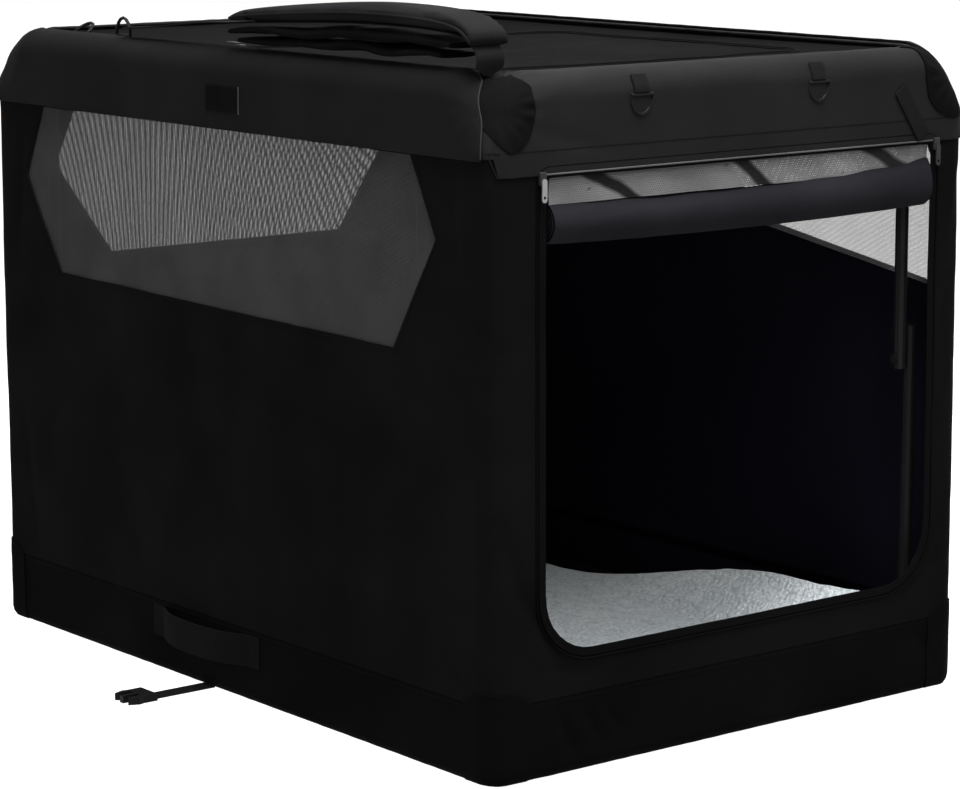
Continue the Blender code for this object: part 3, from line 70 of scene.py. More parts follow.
# %% [markdown]
# ## The camera
# The camera comes first, because everything else is judged through it. It stands a little above the
# crate, in front of the corner between the door and the long side, and looks slightly down.

# %% Camera
CAMERA_PLACE = (-2.5180, -3.2316, 1.0602)
CAMERA_TURN = (79.935, 0.127, -38.310)
camera_data = bpy.data.cameras.new("camera")
camera_data.lens = 121.89
camera_data.sensor_width = 36.0
camera_data.sensor_fit = "HORIZONTAL"
camera = bpy.data.objects.new("camera", camera_data)
camera.location = CAMERA_PLACE
camera.rotation_euler = [math.radians(angle) for angle in CAMERA_TURN]
bpy.context.scene.collection.objects.link(camera)
bpy.context.scene.camera = camera

# %% [markdown]
# ## The size of the crate
# The cover has an upright rounded edge at each corner, a roll round the top tube and a hem under the
# floor. These numbers are the CAD part's own, so the cloth made here lies where its solids are.

# %% Sizes
LENGTH = 1.06
WIDTH = 0.74
HEIGHT = 0.79
HALF_X = WIDTH / 2
HALF_Y = LENGTH / 2
SKIN_INSET = 0.0031
EDGE_BEND = 0.03
LEAST_BEND = 0.009
ROLL_BEND = 0.025
HEM_BEND = 0.015
HEM_LIP = 0.005
BASE_SEAM = 0.092
TOP_SEAM = 0.700
BORDER_LIP = 0.020
CORNER_DRAW = 0.016
CORNER_DROP = 0.018
CORNER_REACH = 0.045
CORNER_TAIL = 0.15
ROLL_START = HEIGHT - SKIN_INSET - ROLL_BEND
ROLL_ARC = ROLL_BEND * math.pi / 2
ROLL_TOP = ROLL_START + ROLL_BEND
ROOF_EDGE = ROLL_START + ROLL_ARC + BORDER_LIP
HEM_ARC = HEM_BEND * math.pi / 2
HEM_EDGE = HEM_BEND - HEM_ARC - HEM_LIP
CELL = 0.006
print("height of the cloth from hem to roof edge:", round(ROOF_EDGE - HEM_EDGE, 4))

# %% [markdown]
# ## Wrapping flat cloth on to the crate
# A place on the cover is given by two lengths: how far it is along the girth, and how far up the cloth.
# The girth runs anticlockwise round four straight sides and four rounded edges. Going up, the cloth
# comes out from under the floor, rises, and turns in over the top tube. A bevelled box could give the
# same outline, but only this lets every seam and tape be placed in flat lengths, as on a cutting table.

# %% Along the girth
QUADRANTS = ((1, 1), (-1, 1), (-1, -1), (1, -1))
SIDES = ("rear", "left", "front", "right")
RUNS = {side: (LENGTH if side in ("left", "right") else WIDTH) - 2 * EDGE_BEND for side in SIDES}
ARC = (EDGE_BEND - SKIN_INSET) * math.pi / 2
GIRTH = sum(RUNS.values()) + 4 * ARC


def edge_place(number, share, inset):
    """The flat place and outward normal on one rounded edge, share going from 0 to 1 round it."""
    sign_x, sign_y = QUADRANTS[number % 4]
    angle = (number % 4 + share) * math.pi / 2
    bend = max(EDGE_BEND - inset, LEAST_BEND)
    normal = Vector((math.cos(angle), math.sin(angle)))
    centre = Vector((sign_x * (HALF_X - inset - bend), sign_y * (HALF_Y - inset - bend)))
    return centre + bend * normal, normal


def girth_place(along, inset):
    """The flat place and outward normal at a length along the girth."""
    along = along % GIRTH
    for number, side in enumerate(SIDES):
        if along <= ARC:
            return edge_place(number, along / ARC, inset)
        along -= ARC
        if along <= RUNS[side]:
            start, normal = edge_place(number, 1, inset)
            end = edge_place(number + 1, 0, inset)[0]
            return start.lerp(end, along / RUNS[side]), normal
        along -= RUNS[side]
    return edge_place(0, 0, inset)


def side_middle(number):
    """The length along the girth at the middle of a side."""
    before = sum(RUNS[other] for other in SIDES[:number])
    return before + (number + 1) * ARC + RUNS[SIDES[number]] / 2


MIDDLES = {side: side_middle(number) for number, side in enumerate(SIDES)}
print("girth of the cover:", round(GIRTH, 4), "m")

# %% Up the cloth


def level(up):
    """A length up the cloth as height, distance in from the side, and lean of the cloth."""
    if up > ROLL_START + ROLL_ARC:
        return ROLL_TOP, ROLL_BEND + up - ROLL_START - ROLL_ARC, math.pi / 2
    if up > ROLL_START:
        lean = (up - ROLL_START) / ROLL_BEND
        return ROLL_START + ROLL_BEND * math.sin(lean), ROLL_BEND * (1 - math.cos(lean)), lean
    if up >= HEM_BEND:
        return up, 0.0, 0.0
    if up > HEM_BEND - HEM_ARC:
        lean = (up - HEM_BEND) / HEM_BEND
        return HEM_BEND * (1 + math.sin(lean)), HEM_BEND * (1 - math.cos(lean)), lean
    return 0.0, 2 * HEM_BEND - HEM_ARC - up, -math.pi / 2


def soften(point):
    """Draw a point in where it lies near a top corner, as cloth does over a bent tube."""
    away = (HALF_X - abs(point.x), HALF_Y - abs(point.y), HEIGHT - point.z)
    far = sum(distance ** 2 for distance in away) / (2 * CORNER_REACH ** 2)
    pull = max(math.exp(-far) - CORNER_TAIL, 0) / (1 - CORNER_TAIL)
    inward = CORNER_DRAW * pull
    drawn = Vector((math.copysign(inward, point.x), math.copysign(inward, point.y), CORNER_DROP * pull))
    return point - drawn


# %% [markdown]
# ## Folds in the cloth
# A cover like this is never quite flat: it billows between its seams, puckers where it is sewn, and
# gathers round the bent corners of the tube. A cloth simulation could find such folds, but the cover is
# held tight all round and they are small, so one function of the place is steadier, and all pieces
# share it.

# %% Folds
BILLOW = 0.0022
CRUMPLE = 0.0007
PUCKER = 0.0009
PUCKER_REACH = 0.016
GATHER = 0.0024
CREASE_SHARE = 1.5
# Single creases in millimetres: along and up of both ends, depth and width.
CREASE_TABLE = {
    "front": (
        (359, 640, 343, 520, 2.0, 7), (343, 520, 322, 400, 2.6, 7), (322, 400, 318, 290, 2.0, 7),
        (336, 660, 322, 560, 1.4, 6), (345, 250, 300, 150, 1.8, 8), (330, 170, 250, 112, 1.8, 7),
        (-352, 300, -312, 170, 1.8, 8), (-338, 240, -270, 128, 2.4, 8), (-310, 130, -200, 112, 1.4, 6),
        (-275, 78, -245, 22, 2.0, 6), (-238, 80, -205, 30, 1.8, 6), (-205, 74, -172, 32, 1.4, 6),
        (290, 84, 330, 30, 1.6, 7), (-260, 770, -120, 776, 0.9, 5), (20, 775, 180, 768, 0.8, 5),
        (-330, 735, -200, 700, 1.0, 9),
    ),
    "left": (
        (450, 690, 470, 560, 1.6, 8), (466, 690, 452, 600, 1.4, 7), (-452, 660, -470, 500, 1.6, 8),
        (-470, 300, -440, 120, 1.4, 9), (440, 140, 480, 100, 1.4, 7),
    ),
}
CREASES = [(side, [size / 1000 for size in sizes]) for side, rows in CREASE_TABLE.items() for sizes in rows]


def ripple(x, y, z):
    """Smooth noise from -1 to 1."""
    return noise.noise(Vector((x, y, z)))


def near(distance, reach):
    """1 at a line and fading away from it."""
    return math.exp(-(distance / reach) ** 2)


def corner_gather(along, up):
    """Gathers that fan out from the top corners, where the border is drawn in round the tube."""
    most = 0.0
    for number, side in enumerate(SIDES):
        corner = MIDDLES[side] - RUNS[side] / 2 - ARC / 2
        across = (along - corner + GIRTH / 2) % GIRTH - GIRTH / 2
        rise = up - (ROLL_START + 0.010)
        fan = math.atan2(rise, across)
        on_end = across * (1 if number % 2 else -1) > 0
        share = near(math.hypot(across, rise) - 0.045, 0.022) * (0.25 if on_end else 1.0)
        most += share * (0.5 + 0.5 * math.cos(fan * 20 + number * 1.7 + 2 * ripple(fan * 3, number, 2.0)))
    return GATHER * most


def crease_depth(along, up):
    """How deep the cloth is pressed in by the single creases near a place."""
    deepest = 0.0
    for side, (along_a, up_a, along_b, up_b, depth, width) in CREASES:
        here = (along - MIDDLES[side] + GIRTH / 2) % GIRTH - GIRTH / 2
        run_x = along_b - along_a
        run_y = up_b - up_a
        long = run_x ** 2 + run_y ** 2
        share = min(max(((here - along_a) * run_x + (up - up_a) * run_y) / long, 0), 1)
        off = math.hypot(here - along_a - share * run_x, up - up_a - share * run_y)
        if off < 3 * width:
            deepest = max(deepest, depth * near(off, width) * (0.35 + 0.65 * math.sin(math.pi * share)))
    return CREASE_SHARE * deepest


def fold(along, up):
    """How far the cloth stands off its plain skin at a place."""
    round_turn = 2 * math.pi * along / GIRTH
    x = math.cos(round_turn)
    y = math.sin(round_turn)
    wall = min(max((up - BASE_SEAM) / (TOP_SEAM - BASE_SEAM), 0), 1)
    billow = BILLOW * math.sin(math.pi * wall) ** 0.7 * ripple(x * 5, y * 5, up * 3.4)
    drape = 0.5 * BILLOW * math.sin(math.pi * wall) * ripple(x * 11 + up * 5, y * 11, up * 9)
    crumple = CRUMPLE * (0.5 + 0.5 * ripple(x * 30, y * 30, up * 42))
    pucker = 0.0
    for seam in (BASE_SEAM, TOP_SEAM):
        grip = math.exp(-abs(up - seam) / PUCKER_REACH)
        pucker += PUCKER * grip * (0.5 + 0.5 * ripple(x * 24, y * 24, seam * 7 + up * 4))
    return billow + drape + crumple + pucker + corner_gather(along, up) - crease_depth(along, up)


def cover(along, up, lift):
    """A point on the folded cover, lifted off its skin."""
    height, inset, lean = level(up)
    flat, normal = girth_place(along, SKIN_INSET + inset)
    out = Vector((normal.x * math.cos(lean), normal.y * math.cos(lean), math.sin(lean)))
    return soften(Vector((flat.x, flat.y, height)) + out * (lift + fold(along, up)))


print("fold at the middle of the front wall:", round(fold(MIDDLES["front"], 0.4) * 1000, 2), "mm")

# %% [markdown]
# ## Materials
# The crate is black nearly everywhere, so its materials differ in weave and sheen more than in colour.
# Each effect that several of them share is a node group: a plain weave, a knitted net with holes, and a
# fine grain with worn spots. The group gives colour, height or mask, and the shader that uses it stays
# in its own material, with its steady numbers on its own sockets.

# %% Helpers for node trees


def feed(socket, value):
    """Lead another socket's value into a socket, or set a plain value on it."""
    if isinstance(value, bpy.types.NodeSocket):
        socket.id_data.links.new(value, socket)
    else:
        socket.default_value = value


def add(tree, kind, inputs=(), **settings):
    """A node with its settings, its inputs fed by name or number."""
    made = tree.nodes.new(kind)
    for name, value in settings.items():
        setattr(made, name, value)
    for name, value in dict(inputs).items():
        feed(made.inputs[name], value)
    return made


def reckon(operation, *values):
    """A math node on sockets and numbers, giving its output."""
    tree = next(value.id_data for value in values if isinstance(value, bpy.types.NodeSocket))
    return add(tree, "ShaderNodeMath", enumerate(values), operation=operation).outputs[0]


def blend(factor, first, second):
    """A colour between two. A mix node's colours are its inputs 6 and 7, and its output 2."""
    return add(factor.id_data, "ShaderNodeMix", {0: factor, 6: first, 7: second}, data_type="RGBA").outputs[2]


def cloudy(place, scale, detail=3.0):
    """Noise at a place."""
    inputs = {"Vector": place, "Scale": scale, "Detail": detail}
    return add(place.id_data, "ShaderNodeTexNoise", inputs).outputs[0]


def spread(value, low, high):
    """Stretch a value so that low becomes 0 and high becomes 1."""
    inputs = {"Value": value, "From Min": low, "From Max": high}
    return add(value.id_data, "ShaderNodeMapRange", inputs).outputs[0]


def new_group(name, inputs, outputs):
    """A shader group. An input without a value is a place, one with four is a colour."""
    group = bpy.data.node_groups.new(name, "ShaderNodeTree")
    for title, value in inputs.items():
        kind = "Vector" if value is None else "Color" if isinstance(value, tuple) else "Float"
        socket = group.interface.new_socket(title, in_out="INPUT", socket_type="NodeSocket" + kind)
        if value is not None:
            socket.default_value = value
    for title in outputs:
        kind = "Color" if title == "Colour" else "Float"
        group.interface.new_socket(title, in_out="OUTPUT", socket_type="NodeSocket" + kind)
    return group, group.nodes.new("NodeGroupInput").outputs, group.nodes.new("NodeGroupOutput").inputs


# %% The plain weave, used by wall cloth, webbing and tapes


def make_weave():
    group, given, out = new_group("plain weave", {
        "Thread place": None, "Body place": None, "Threads across": 900.0, "Threads along": 900.0,
        "Yarn": (0.01, 0.01, 0.01, 1), "Worn yarn": (0.02, 0.02, 0.02, 1), "Wear": 0.4,
    }, ("Colour", "Roughness", "Height"))
    split = add(group, "ShaderNodeSeparateXYZ", {0: given["Thread place"]}).outputs
    across = reckon("MULTIPLY", split[0], given["Threads across"])
    along = reckon("MULTIPLY", split[1], given["Threads along"])
    warp = reckon("SINE", reckon("MULTIPLY", across, math.pi))
    weft = reckon("SINE", reckon("MULTIPLY", along, math.pi))
    over = reckon("GREATER_THAN", reckon("MULTIPLY", warp, weft), 0.0)
    weft_round = reckon("ABSOLUTE", weft)
    gap = reckon("SUBTRACT", reckon("ABSOLUTE", warp), weft_round)
    thread = reckon("MULTIPLY_ADD", over, gap, weft_round)
    patchy = spread(cloudy(given["Body place"], 7.0, 4.0), 0.35, 0.7)
    lint = spread(cloudy(given["Body place"], 260.0, 2.0), 0.5, 0.8)
    worn = reckon("MULTIPLY", given["Wear"], reckon("MULTIPLY_ADD", lint, 0.5, patchy))
    # The valleys between the threads are blended towards near black: painted shade in the weave.
    valley_shade = reckon("MULTIPLY_ADD", thread, 0.45, 0.55)
    tone = blend(worn, given["Yarn"], given["Worn yarn"])
    feed(out["Colour"], blend(valley_shade, (0.002, 0.002, 0.002, 1), tone))
    feed(out["Roughness"], reckon("MULTIPLY_ADD", patchy, -0.10, 0.88))
    feed(out["Height"], thread)
    return group


WEAVE = make_weave()

# %% The knitted net of the windows


def make_net():
    group, given, out = new_group("knitted net", {
        "Thread place": None, "Holes per metre": 480.0, "Hole size": 0.40,
    }, ("Alpha", "Height"))
    split = add(group, "ShaderNodeSeparateXYZ", {0: given["Thread place"]}).outputs
    rows = reckon("MULTIPLY", split[1], reckon("MULTIPLY", given["Holes per metre"], 1.155))
    odd = reckon("ABSOLUTE", reckon("MODULO", reckon("FLOOR", rows), 2.0))
    columns = reckon("MULTIPLY", split[0], given["Holes per metre"])
    side = reckon("SUBTRACT", reckon("FRACT", reckon("MULTIPLY_ADD", odd, 0.5, columns)), 0.5)
    rise = reckon("SUBTRACT", reckon("FRACT", rows), 0.5)
    reach = reckon("SQRT", reckon("MULTIPLY_ADD", side, side, reckon("MULTIPLY", rise, rise)))
    thread = spread(reckon("SUBTRACT", reach, given["Hole size"]), -0.05, 0.05)
    feed(out["Alpha"], thread)
    feed(out["Height"], thread)
    return group


NET = make_net()

# %% Fine grain with worn spots, used by mouldings, tube, board and zinc


def make_grain():
    group, given, out = new_group("fine grain", {
        "Body place": None, "Grain per metre": 900.0, "Coat": (0.02, 0.02, 0.02, 1),
        "Worn coat": (0.05, 0.05, 0.05, 1), "Wear": 0.3, "Roughness": 0.45,
    }, ("Colour", "Roughness", "Height"))
    spots = spread(cloudy(given["Body place"], 60.0, 5.0), 0.5, 0.72)
    edge = spread(add(group, "ShaderNodeNewGeometry").outputs["Pointiness"], 0.5, 0.58)
    worn = reckon("MULTIPLY", given["Wear"], reckon("MAXIMUM", spots, edge))
    feed(out["Colour"], blend(worn, given["Coat"], given["Worn coat"]))
    feed(out["Roughness"], reckon("MULTIPLY_ADD", spots, 0.12, given["Roughness"]))
    feed(out["Height"], cloudy(given["Body place"], given["Grain per metre"], 2.0))
    return group


GRAIN = make_grain()
print("shared effects:", [group.name for group in bpy.data.node_groups])

# %% Three kinds of finish, made from the groups


def grey(tone, blue=0.0):
    """A near-neutral colour with a little blue in it."""
    return (tone, tone, tone * (1 + blue), 1.0)


def start_material(name, specular, bump):
    """A material, its shader's inputs, the places to read patterns from, and its bump node's inputs."""
    material = bpy.data.materials.new(name)
    material.use_nodes = True
    tree = material.node_tree
    shader = tree.nodes["Principled BSDF"].inputs
    relief = add(tree, "ShaderNodeBump", {"Strength": bump, "Distance": 0.001})
    feed(shader["Specular IOR Level"], specular)
    feed(shader["Normal"], relief.outputs[0])
    return material, shader, add(tree, "ShaderNodeTexCoord").outputs, relief.inputs


def dress(material, shader, relief, group, inputs):
    """Place a group in a material, and lead its colour, roughness and height on."""
    made = add(material.node_tree, "ShaderNodeGroup", inputs, node_tree=group).outputs
    feed(shader["Base Color"], made["Colour"])
    feed(shader["Roughness"], made["Roughness"])
    feed(relief["Height"], made["Height"])
    return material


def woven(name, yarn, worn, across=1400.0, along=1400.0, wear=0.5, specular=0.03, bump=0.2, place="UV"):
    material, shader, places, relief = start_material(name, specular, bump)
    return dress(material, shader, relief, WEAVE, {
        "Thread place": places[place], "Body place": places["Object"], "Threads across": across,
        "Threads along": along, "Yarn": yarn, "Worn yarn": worn, "Wear": wear,
    })


def grained(name, coat, worn, roughness, wear=0.3, grain=900.0, metallic=0.0, specular=0.5):
    material, shader, places, relief = start_material(name, specular, 0.05)
    feed(shader["Metallic"], metallic)
    return dress(material, shader, relief, GRAIN, {
        "Body place": places["Object"], "Grain per metre": grain, "Coat": coat, "Worn coat": worn,
        "Wear": wear, "Roughness": roughness,
    })


def net_folds_doubled_and_shaded(place):
    """Where the door's net lies double, in slanting folds: 1 in a fold and 0 elsewhere. It makes the net
    denser there and darkens its yarn as painted shade.
    """
    split = add(place.id_data, "ShaderNodeSeparateXYZ", {0: place}).outputs
    slant = reckon("MULTIPLY_ADD", split[2], 1.9, split[0])
    stripes = reckon("MULTIPLY_ADD", cloudy(place, 9.0), 2.0, reckon("MULTIPLY_ADD", slant, 28.7, 1.7))
    return spread(reckon("SINE", stripes), 0.84, 0.96)


def netted(name, colour, hole, per_metre, doubled=False):
    material, shader, places, relief = start_material(name, 0.04, 0.3)
    net = add(material.node_tree, "ShaderNodeGroup", {
        "Thread place": places["UV"], "Holes per metre": per_metre, "Hole size": hole,
    }, node_tree=NET).outputs
    lighter = tuple(min(part * 1.35, 1.0) for part in colour[:3]) + (1.0,)
    yarn = blend(spread(cloudy(places["Object"], 14.0), 0.3, 0.7), colour, lighter)
    covered = net["Alpha"]
    if doubled:
        folded = net_folds_doubled_and_shaded(places["Object"])
        covered = reckon("MAXIMUM", covered, reckon("MULTIPLY", folded, 0.85))
        # In the folds the yarn is also darkened: painted shade in the folds of the net.
        yarn = blend(folded, yarn, grey(0.009))
    feed(shader["Base Color"], yarn)
    feed(shader["Alpha"], covered)
    feed(shader["Roughness"], 0.8)
    feed(relief["Height"], net["Height"])
    return material


# %% The materials
WALL = woven("wall cloth", grey(0.0026, 0.06), grey(0.0048, 0.03), specular=0.012)
LINING = woven("inside of the walls", (0.0070, 0.0070, 0.0125, 1), (0.0120, 0.0120, 0.0190, 1), specular=0.02)
BORDER = woven("border cloth", grey(0.0042), grey(0.0072), specular=0.07)
FLAP_CLOTH = woven("flap cloth", grey(0.0034), grey(0.0058), specular=0.04)
HANDLE_CLOTH = woven("handle webbing", grey(0.0022), grey(0.0050), 500.0, 900.0, specular=0.02, bump=0.5)
BAND = woven("base band cloth", grey(0.0016, 0.05), grey(0.0032, 0.02), specular=0.010)
PATCH_CLOTH = woven("patch cloth", grey(0.0021), grey(0.0040), 1000.0, 1000.0, specular=0.010)
PAD_CLOTH = woven("pad cloth", grey(0.0040), grey(0.0100), specular=0.04, place="Object")
# The folded pad cloth is the pad's cloth made darker: painted shade under the strap.
SHADED_FOLD_CLOTH = woven("folded pad cloth", grey(0.0016), grey(0.0044), specular=0.015, place="Object")
# The roof cloth is black cloth made darker than the walls: painted shade over the upward-facing roof, seen at
# a grazing angle.
SHADED_ROOF_CLOTH = woven("roof cloth", grey(0.0014, 0.05), grey(0.0028), specular=0.012)
ROLL_CLOTH = woven("rolled door cloth", (0.0085, 0.0085, 0.0105, 1), (0.0145, 0.0145, 0.0170, 1))
WEBBING = woven("webbing", grey(0.0034), grey(0.0075), 500.0, 900.0, specular=0.04, bump=0.5)
PIPING = woven("light piping", grey(0.040), grey(0.085), 900.0, 900.0, wear=0.6, specular=0.15)
DIM_PIPING = woven("flap piping", grey(0.013), grey(0.026), 900.0, 900.0, wear=0.6, specular=0.05)
DARK_PIPING = woven("dark piping", grey(0.0034), grey(0.0070), 900.0, 900.0, specular=0.04)
BINDING = woven("glossy binding", grey(0.0010), grey(0.0020), 700.0, 1000.0, specular=0.020, bump=0.3)
THREAD = woven("sewing thread", grey(0.0020), grey(0.0044), 900.0, 2400.0, bump=0.4)
SIDE_NET = netted("side window net", grey(0.036), 0.352, 620.0)
REAR_NET = netted("rear window net", grey(0.05), 0.42, 560.0)
# The right window's net is much lighter than the other nets: painted light, for the light that comes through
# it from outside.
LIT_RIGHT_NET = netted("right window net", grey(0.24), 0.405, 560.0)
DOOR_NET = netted("door net", grey(0.095), 0.20, 340.0, doubled=True)
MOULDING = grained("black moulding", grey(0.0024), grey(0.007), 0.48, specular=0.06)
LABEL = grained("bare label", grey(0.0010), grey(0.0022), 0.6, specular=0.012, grain=500.0)
TUBE = grained("powder-coated tube", grey(0.0030), grey(0.012), 0.5, specular=0.08, grain=1500.0)
ZINC = grained("zinc casting", grey(0.14), grey(0.26), 0.40, metallic=0.9, wear=0.6)
BLACK_ZINC = grained("blackened zinc", grey(0.006), grey(0.024), 0.45, metallic=0.3, wear=0.5, specular=0.15)
BOARD = grained("hardboard", (0.10, 0.075, 0.05, 1), (0.14, 0.11, 0.075, 1), 0.8, wear=0.8, grain=250.0)
print(len(bpy.data.materials), "materials")

# %% [markdown]
# ## The fleece of the mat
# The mat shows a pale, short, curly pile. Real curls would be hairs or thousands of small loops. The
# camera sees them only as soft bumps, so the larger lumps go into the mesh later, and the curls are a
# cell pattern in the material, with a sheen for the loose fibres at grazing angles.

# %% Fleece


def make_fleece():
    material, shader, places, relief = start_material("fleece", 0.1, 0.9)
    place = places["Object"]
    curls = add(material.node_tree, "ShaderNodeTexVoronoi", {"Vector": place, "Scale": 170.0})
    tufts = cloudy(place, 55.0, 6.0)
    height = reckon("MULTIPLY_ADD", curls.outputs["Distance"], -0.8, tufts)
    clouds = spread(cloudy(place, 5.0), 0.3, 0.75)
    pale = blend(clouds, (0.76, 0.82, 0.85, 1), (0.90, 0.94, 0.95, 1))
    # The low places between the curls are darker than the tips: painted shade in the hollows of the pile.
    feed(shader["Base Color"], blend(spread(height, -0.35, 0.45), (0.56, 0.62, 0.65, 1), pale))
    feed(shader["Roughness"], spread(tufts, -3.0, 1.2))
    feed(shader["Sheen Weight"], 0.3)
    feed(shader["Sheen Roughness"], 0.6)
    feed(relief["Height"], height)
    feed(relief["Distance"], 0.004)
    return material


FLEECE = make_fleece()

# %% [markdown]
# ## Cutting and wrapping a piece of cloth
# The flat lengths stay on the piece as its UV map, so the weave follows the cloth round every edge.

# %% Cutting


def flat_piece(left, right, low, high, cell=CELL, bottom=None, top=None):
    """A flat grid along the girth and up the cloth, with curves for its lower and upper edge if given."""
    shape = bmesh.new()
    columns = max(1, round((right - left) / cell))
    rows = max(1, round((high - low) / cell))
    bmesh.ops.create_grid(shape, x_segments=columns, y_segments=rows, size=0.5)
    bmesh.ops.scale(shape, vec=(right - left, high - low, 1), verts=shape.verts)
    middle = Vector(((left + right) / 2, (low + high) / 2, 0))
    bmesh.ops.translate(shape, vec=middle, verts=shape.verts)
    for vert in shape.verts if bottom or top else ():
        start = bottom(vert.co.x) if bottom else low
        end = top(vert.co.x) if top else high
        share = (vert.co.y - low) / (high - low)
        vert.co.y = start + (end - start) * share
    return shape


def outline_edges(outline):
    """The start, end and outward direction of each edge of an anticlockwise outline."""
    corners = [Vector((x, y, 0)) for x, y in outline]
    pairs = zip(corners, corners[1:] + corners[:1])
    return [(start, end, Vector((end.y - start.y, start.x - end.x, 0)).normalized()) for start, end in pairs]


def beyond(point, start, end):
    """How far a point is from a straight edge between two corners."""
    along = end - start
    share = min(max((point - start).dot(along) / along.length_squared, 0), 1)
    return (point - start - along * share).length


def cut_out(shape, outline):
    """Cut an anticlockwise convex outline into a flat piece and take out what is inside it."""
    edges = outline_edges(outline)
    for start, end, square in edges:
        close = [face for face in shape.faces if beyond(face.calc_center_median(), start, end) < 2 * CELL]
        parts = dict.fromkeys(close)
        for face in close:
            parts.update(dict.fromkeys([*face.edges, *face.verts]))
        bmesh.ops.bisect_plane(shape, geom=list(parts), plane_co=start, plane_no=square, dist=0.00001)
    inside = []
    for face in shape.faces:
        middle = face.calc_center_median()
        if all((middle - start).dot(square) < 0 for start, end, square in edges):
            inside.append(face)
    bmesh.ops.delete(shape, geom=inside, context="FACES")


def keep_inside(shape, outline):
    """Cut a flat piece down to an anticlockwise convex outline."""
    for start, end, square in outline_edges(outline):
        whole = [*shape.verts, *shape.edges, *shape.faces]
        bmesh.ops.bisect_plane(
            shape, geom=whole, plane_co=start, plane_no=square, dist=0.00001, clear_outer=True
        )


# %% Finishing and sewing on
CLOTH_THICK = 0.0016
# The soft parts: the body that carries each, and where to and how far it should flatten as the frame folds;
# only the body is used here, and the flattening is not applied.
FOLDING = {
    "walls": ("base", (0, 0, 0.0528), 0.06),
    "band": ("base", (0, 0, 0), 0.6),
    "border": ("top", (0, 0, HEIGHT), 0.7),
}


def to_object(shape, name, material, smooth_angle=50):
    """Turn a bmesh into an object at the origin, smooth except at sharp edges."""
    mesh = bpy.data.meshes.new(name)
    shape.to_mesh(mesh)
    shape.free()
    mesh.shade_smooth()
    mesh.set_sharp_from_angle(angle=math.radians(smooth_angle))
    mesh.materials.append(material)
    thing = bpy.data.objects.new(name, mesh)
    bpy.context.scene.collection.objects.link(thing)
    return thing


def fasten(thing, where, nodes=()):
    """Hang a piece on what carries it, a soft part's body or a body, give a soft part a mesh of its own, and
    hide the CAD nodes that it stands for.
    """
    body, *flattens = FOLDING.get(where, (where,))
    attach(thing, body)
    if flattens:
        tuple(flattens[0])
        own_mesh(thing)
    if nodes:
        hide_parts(*nodes)


def keep_flat_map(shape):
    """Store the flat lengths of a piece as its UV map."""
    flat = shape.loops.layers.uv.new("flat")
    for face in shape.faces:
        for loop in face.loops:
            loop[flat].uv = loop.vert.co.xy


def line_inside(thing, lining):
    """Give the faces that look into the crate the colour of its inside."""
    thing.data.materials.append(lining)
    for face in thing.data.polygons:
        if face.normal.x * face.center.x + face.normal.y * face.center.y < 0:
            face.material_index = 1


def sew(
    shape, name, place, material, where, nodes, thick=CLOTH_THICK, lining=None, weld=False
):
    keep_flat_map(shape)
    flat_area = sum(face.calc_area() for face in shape.faces)
    for vert in shape.verts:
        vert.co = place(*vert.co.xy)
    # A piece that isn't welded keeps the normals of its flat shape, and is thickened straight down.
    if weld:
        bmesh.ops.remove_doubles(shape, verts=shape.verts, dist=0.00002)
    bmesh.ops.solidify(shape, geom=list(shape.faces), thickness=thick)
    thing = to_object(shape, name, material)
    if lining:
        line_inside(thing, lining)
    fasten(thing, where, nodes)


def wrap(shape, name, side, lift, material, where, nodes=(), thick=CLOTH_THICK, lining=None):
    """Wrap a flat piece on to the cover."""

    def place(along, up):
        return cover(MIDDLES[side] + along, up, lift)

    sew(shape, name, place, material, where, nodes, thick, lining, weld=True)


# %% [markdown]
# ## Tapes, piping and cords of thread
# Webbing, zip tape, piping and bindings are all one idea: a small section carried along a line. A
# bevelled curve does that too, but it twists where it likes. Here a grid is rolled round the section and
# carried along, so that a flat tape always lies flat on the cloth.

# %% Sweeping a section along a line


def running(points):
    """The length travelled at each of some points."""
    lengths = [0.0]
    for before, after in zip(points, points[1:]):
        lengths.append(lengths[-1] + (after - before).length)
    return lengths


def sweep(name, stations, section, material, closed=False, smooth_angle=40):
    """Carry a closed section along stations of (place, across, out), with lengths as its UV map."""
    count = len(stations)
    sides = len(section)
    columns = count if closed else count - 1
    shape = bmesh.new()
    bmesh.ops.create_grid(shape, x_segments=columns, y_segments=sides, size=0.5)
    girths = running([Vector(section[number % sides]) for number in range(sides + 1)])
    lengths = running([stations[number % count][0] for number in range(columns + 1)])
    grid = {}
    for vert in shape.verts:
        grid[vert] = (round((vert.co.x + 0.5) * columns), round((vert.co.y + 0.5) * sides))
    flat = shape.loops.layers.uv.new("flat")
    for face in shape.faces:
        for loop in face.loops:
            column, row = grid[loop.vert]
            loop[flat].uv = (girths[row], lengths[column])
    for vert, (column, row) in grid.items():
        place, across, out = stations[column % count]
        a, b = section[row % sides]
        vert.co = place + across * a + out * b
    bmesh.ops.remove_doubles(shape, verts=shape.verts, dist=0.0000005)
    if not closed:
        bmesh.ops.holes_fill(shape, edges=[edge for edge in shape.edges if edge.is_boundary], sides=0)
    bmesh.ops.recalc_face_normals(shape, faces=shape.faces)
    return to_object(shape, name, material, smooth_angle)


def round_section(radius, sides=6):
    """A cord's section."""
    turns = [2 * math.pi * number / sides for number in range(sides)]
    return [(radius * math.cos(turn), radius * math.sin(turn)) for turn in turns]


def flat_section(width, thick, lift=0.0):
    """A tape with slightly rounded long edges, lying on its line."""
    edge = thick * 0.3
    half = width / 2
    return [
        (-half, lift + edge), (-half + edge, lift), (half - edge, lift), (half, lift + edge),
        (half, lift + thick - edge), (half - edge, lift + thick), (-half + edge, lift + thick),
        (-half, lift + thick - edge),
    ]


# %% Lines on the cover


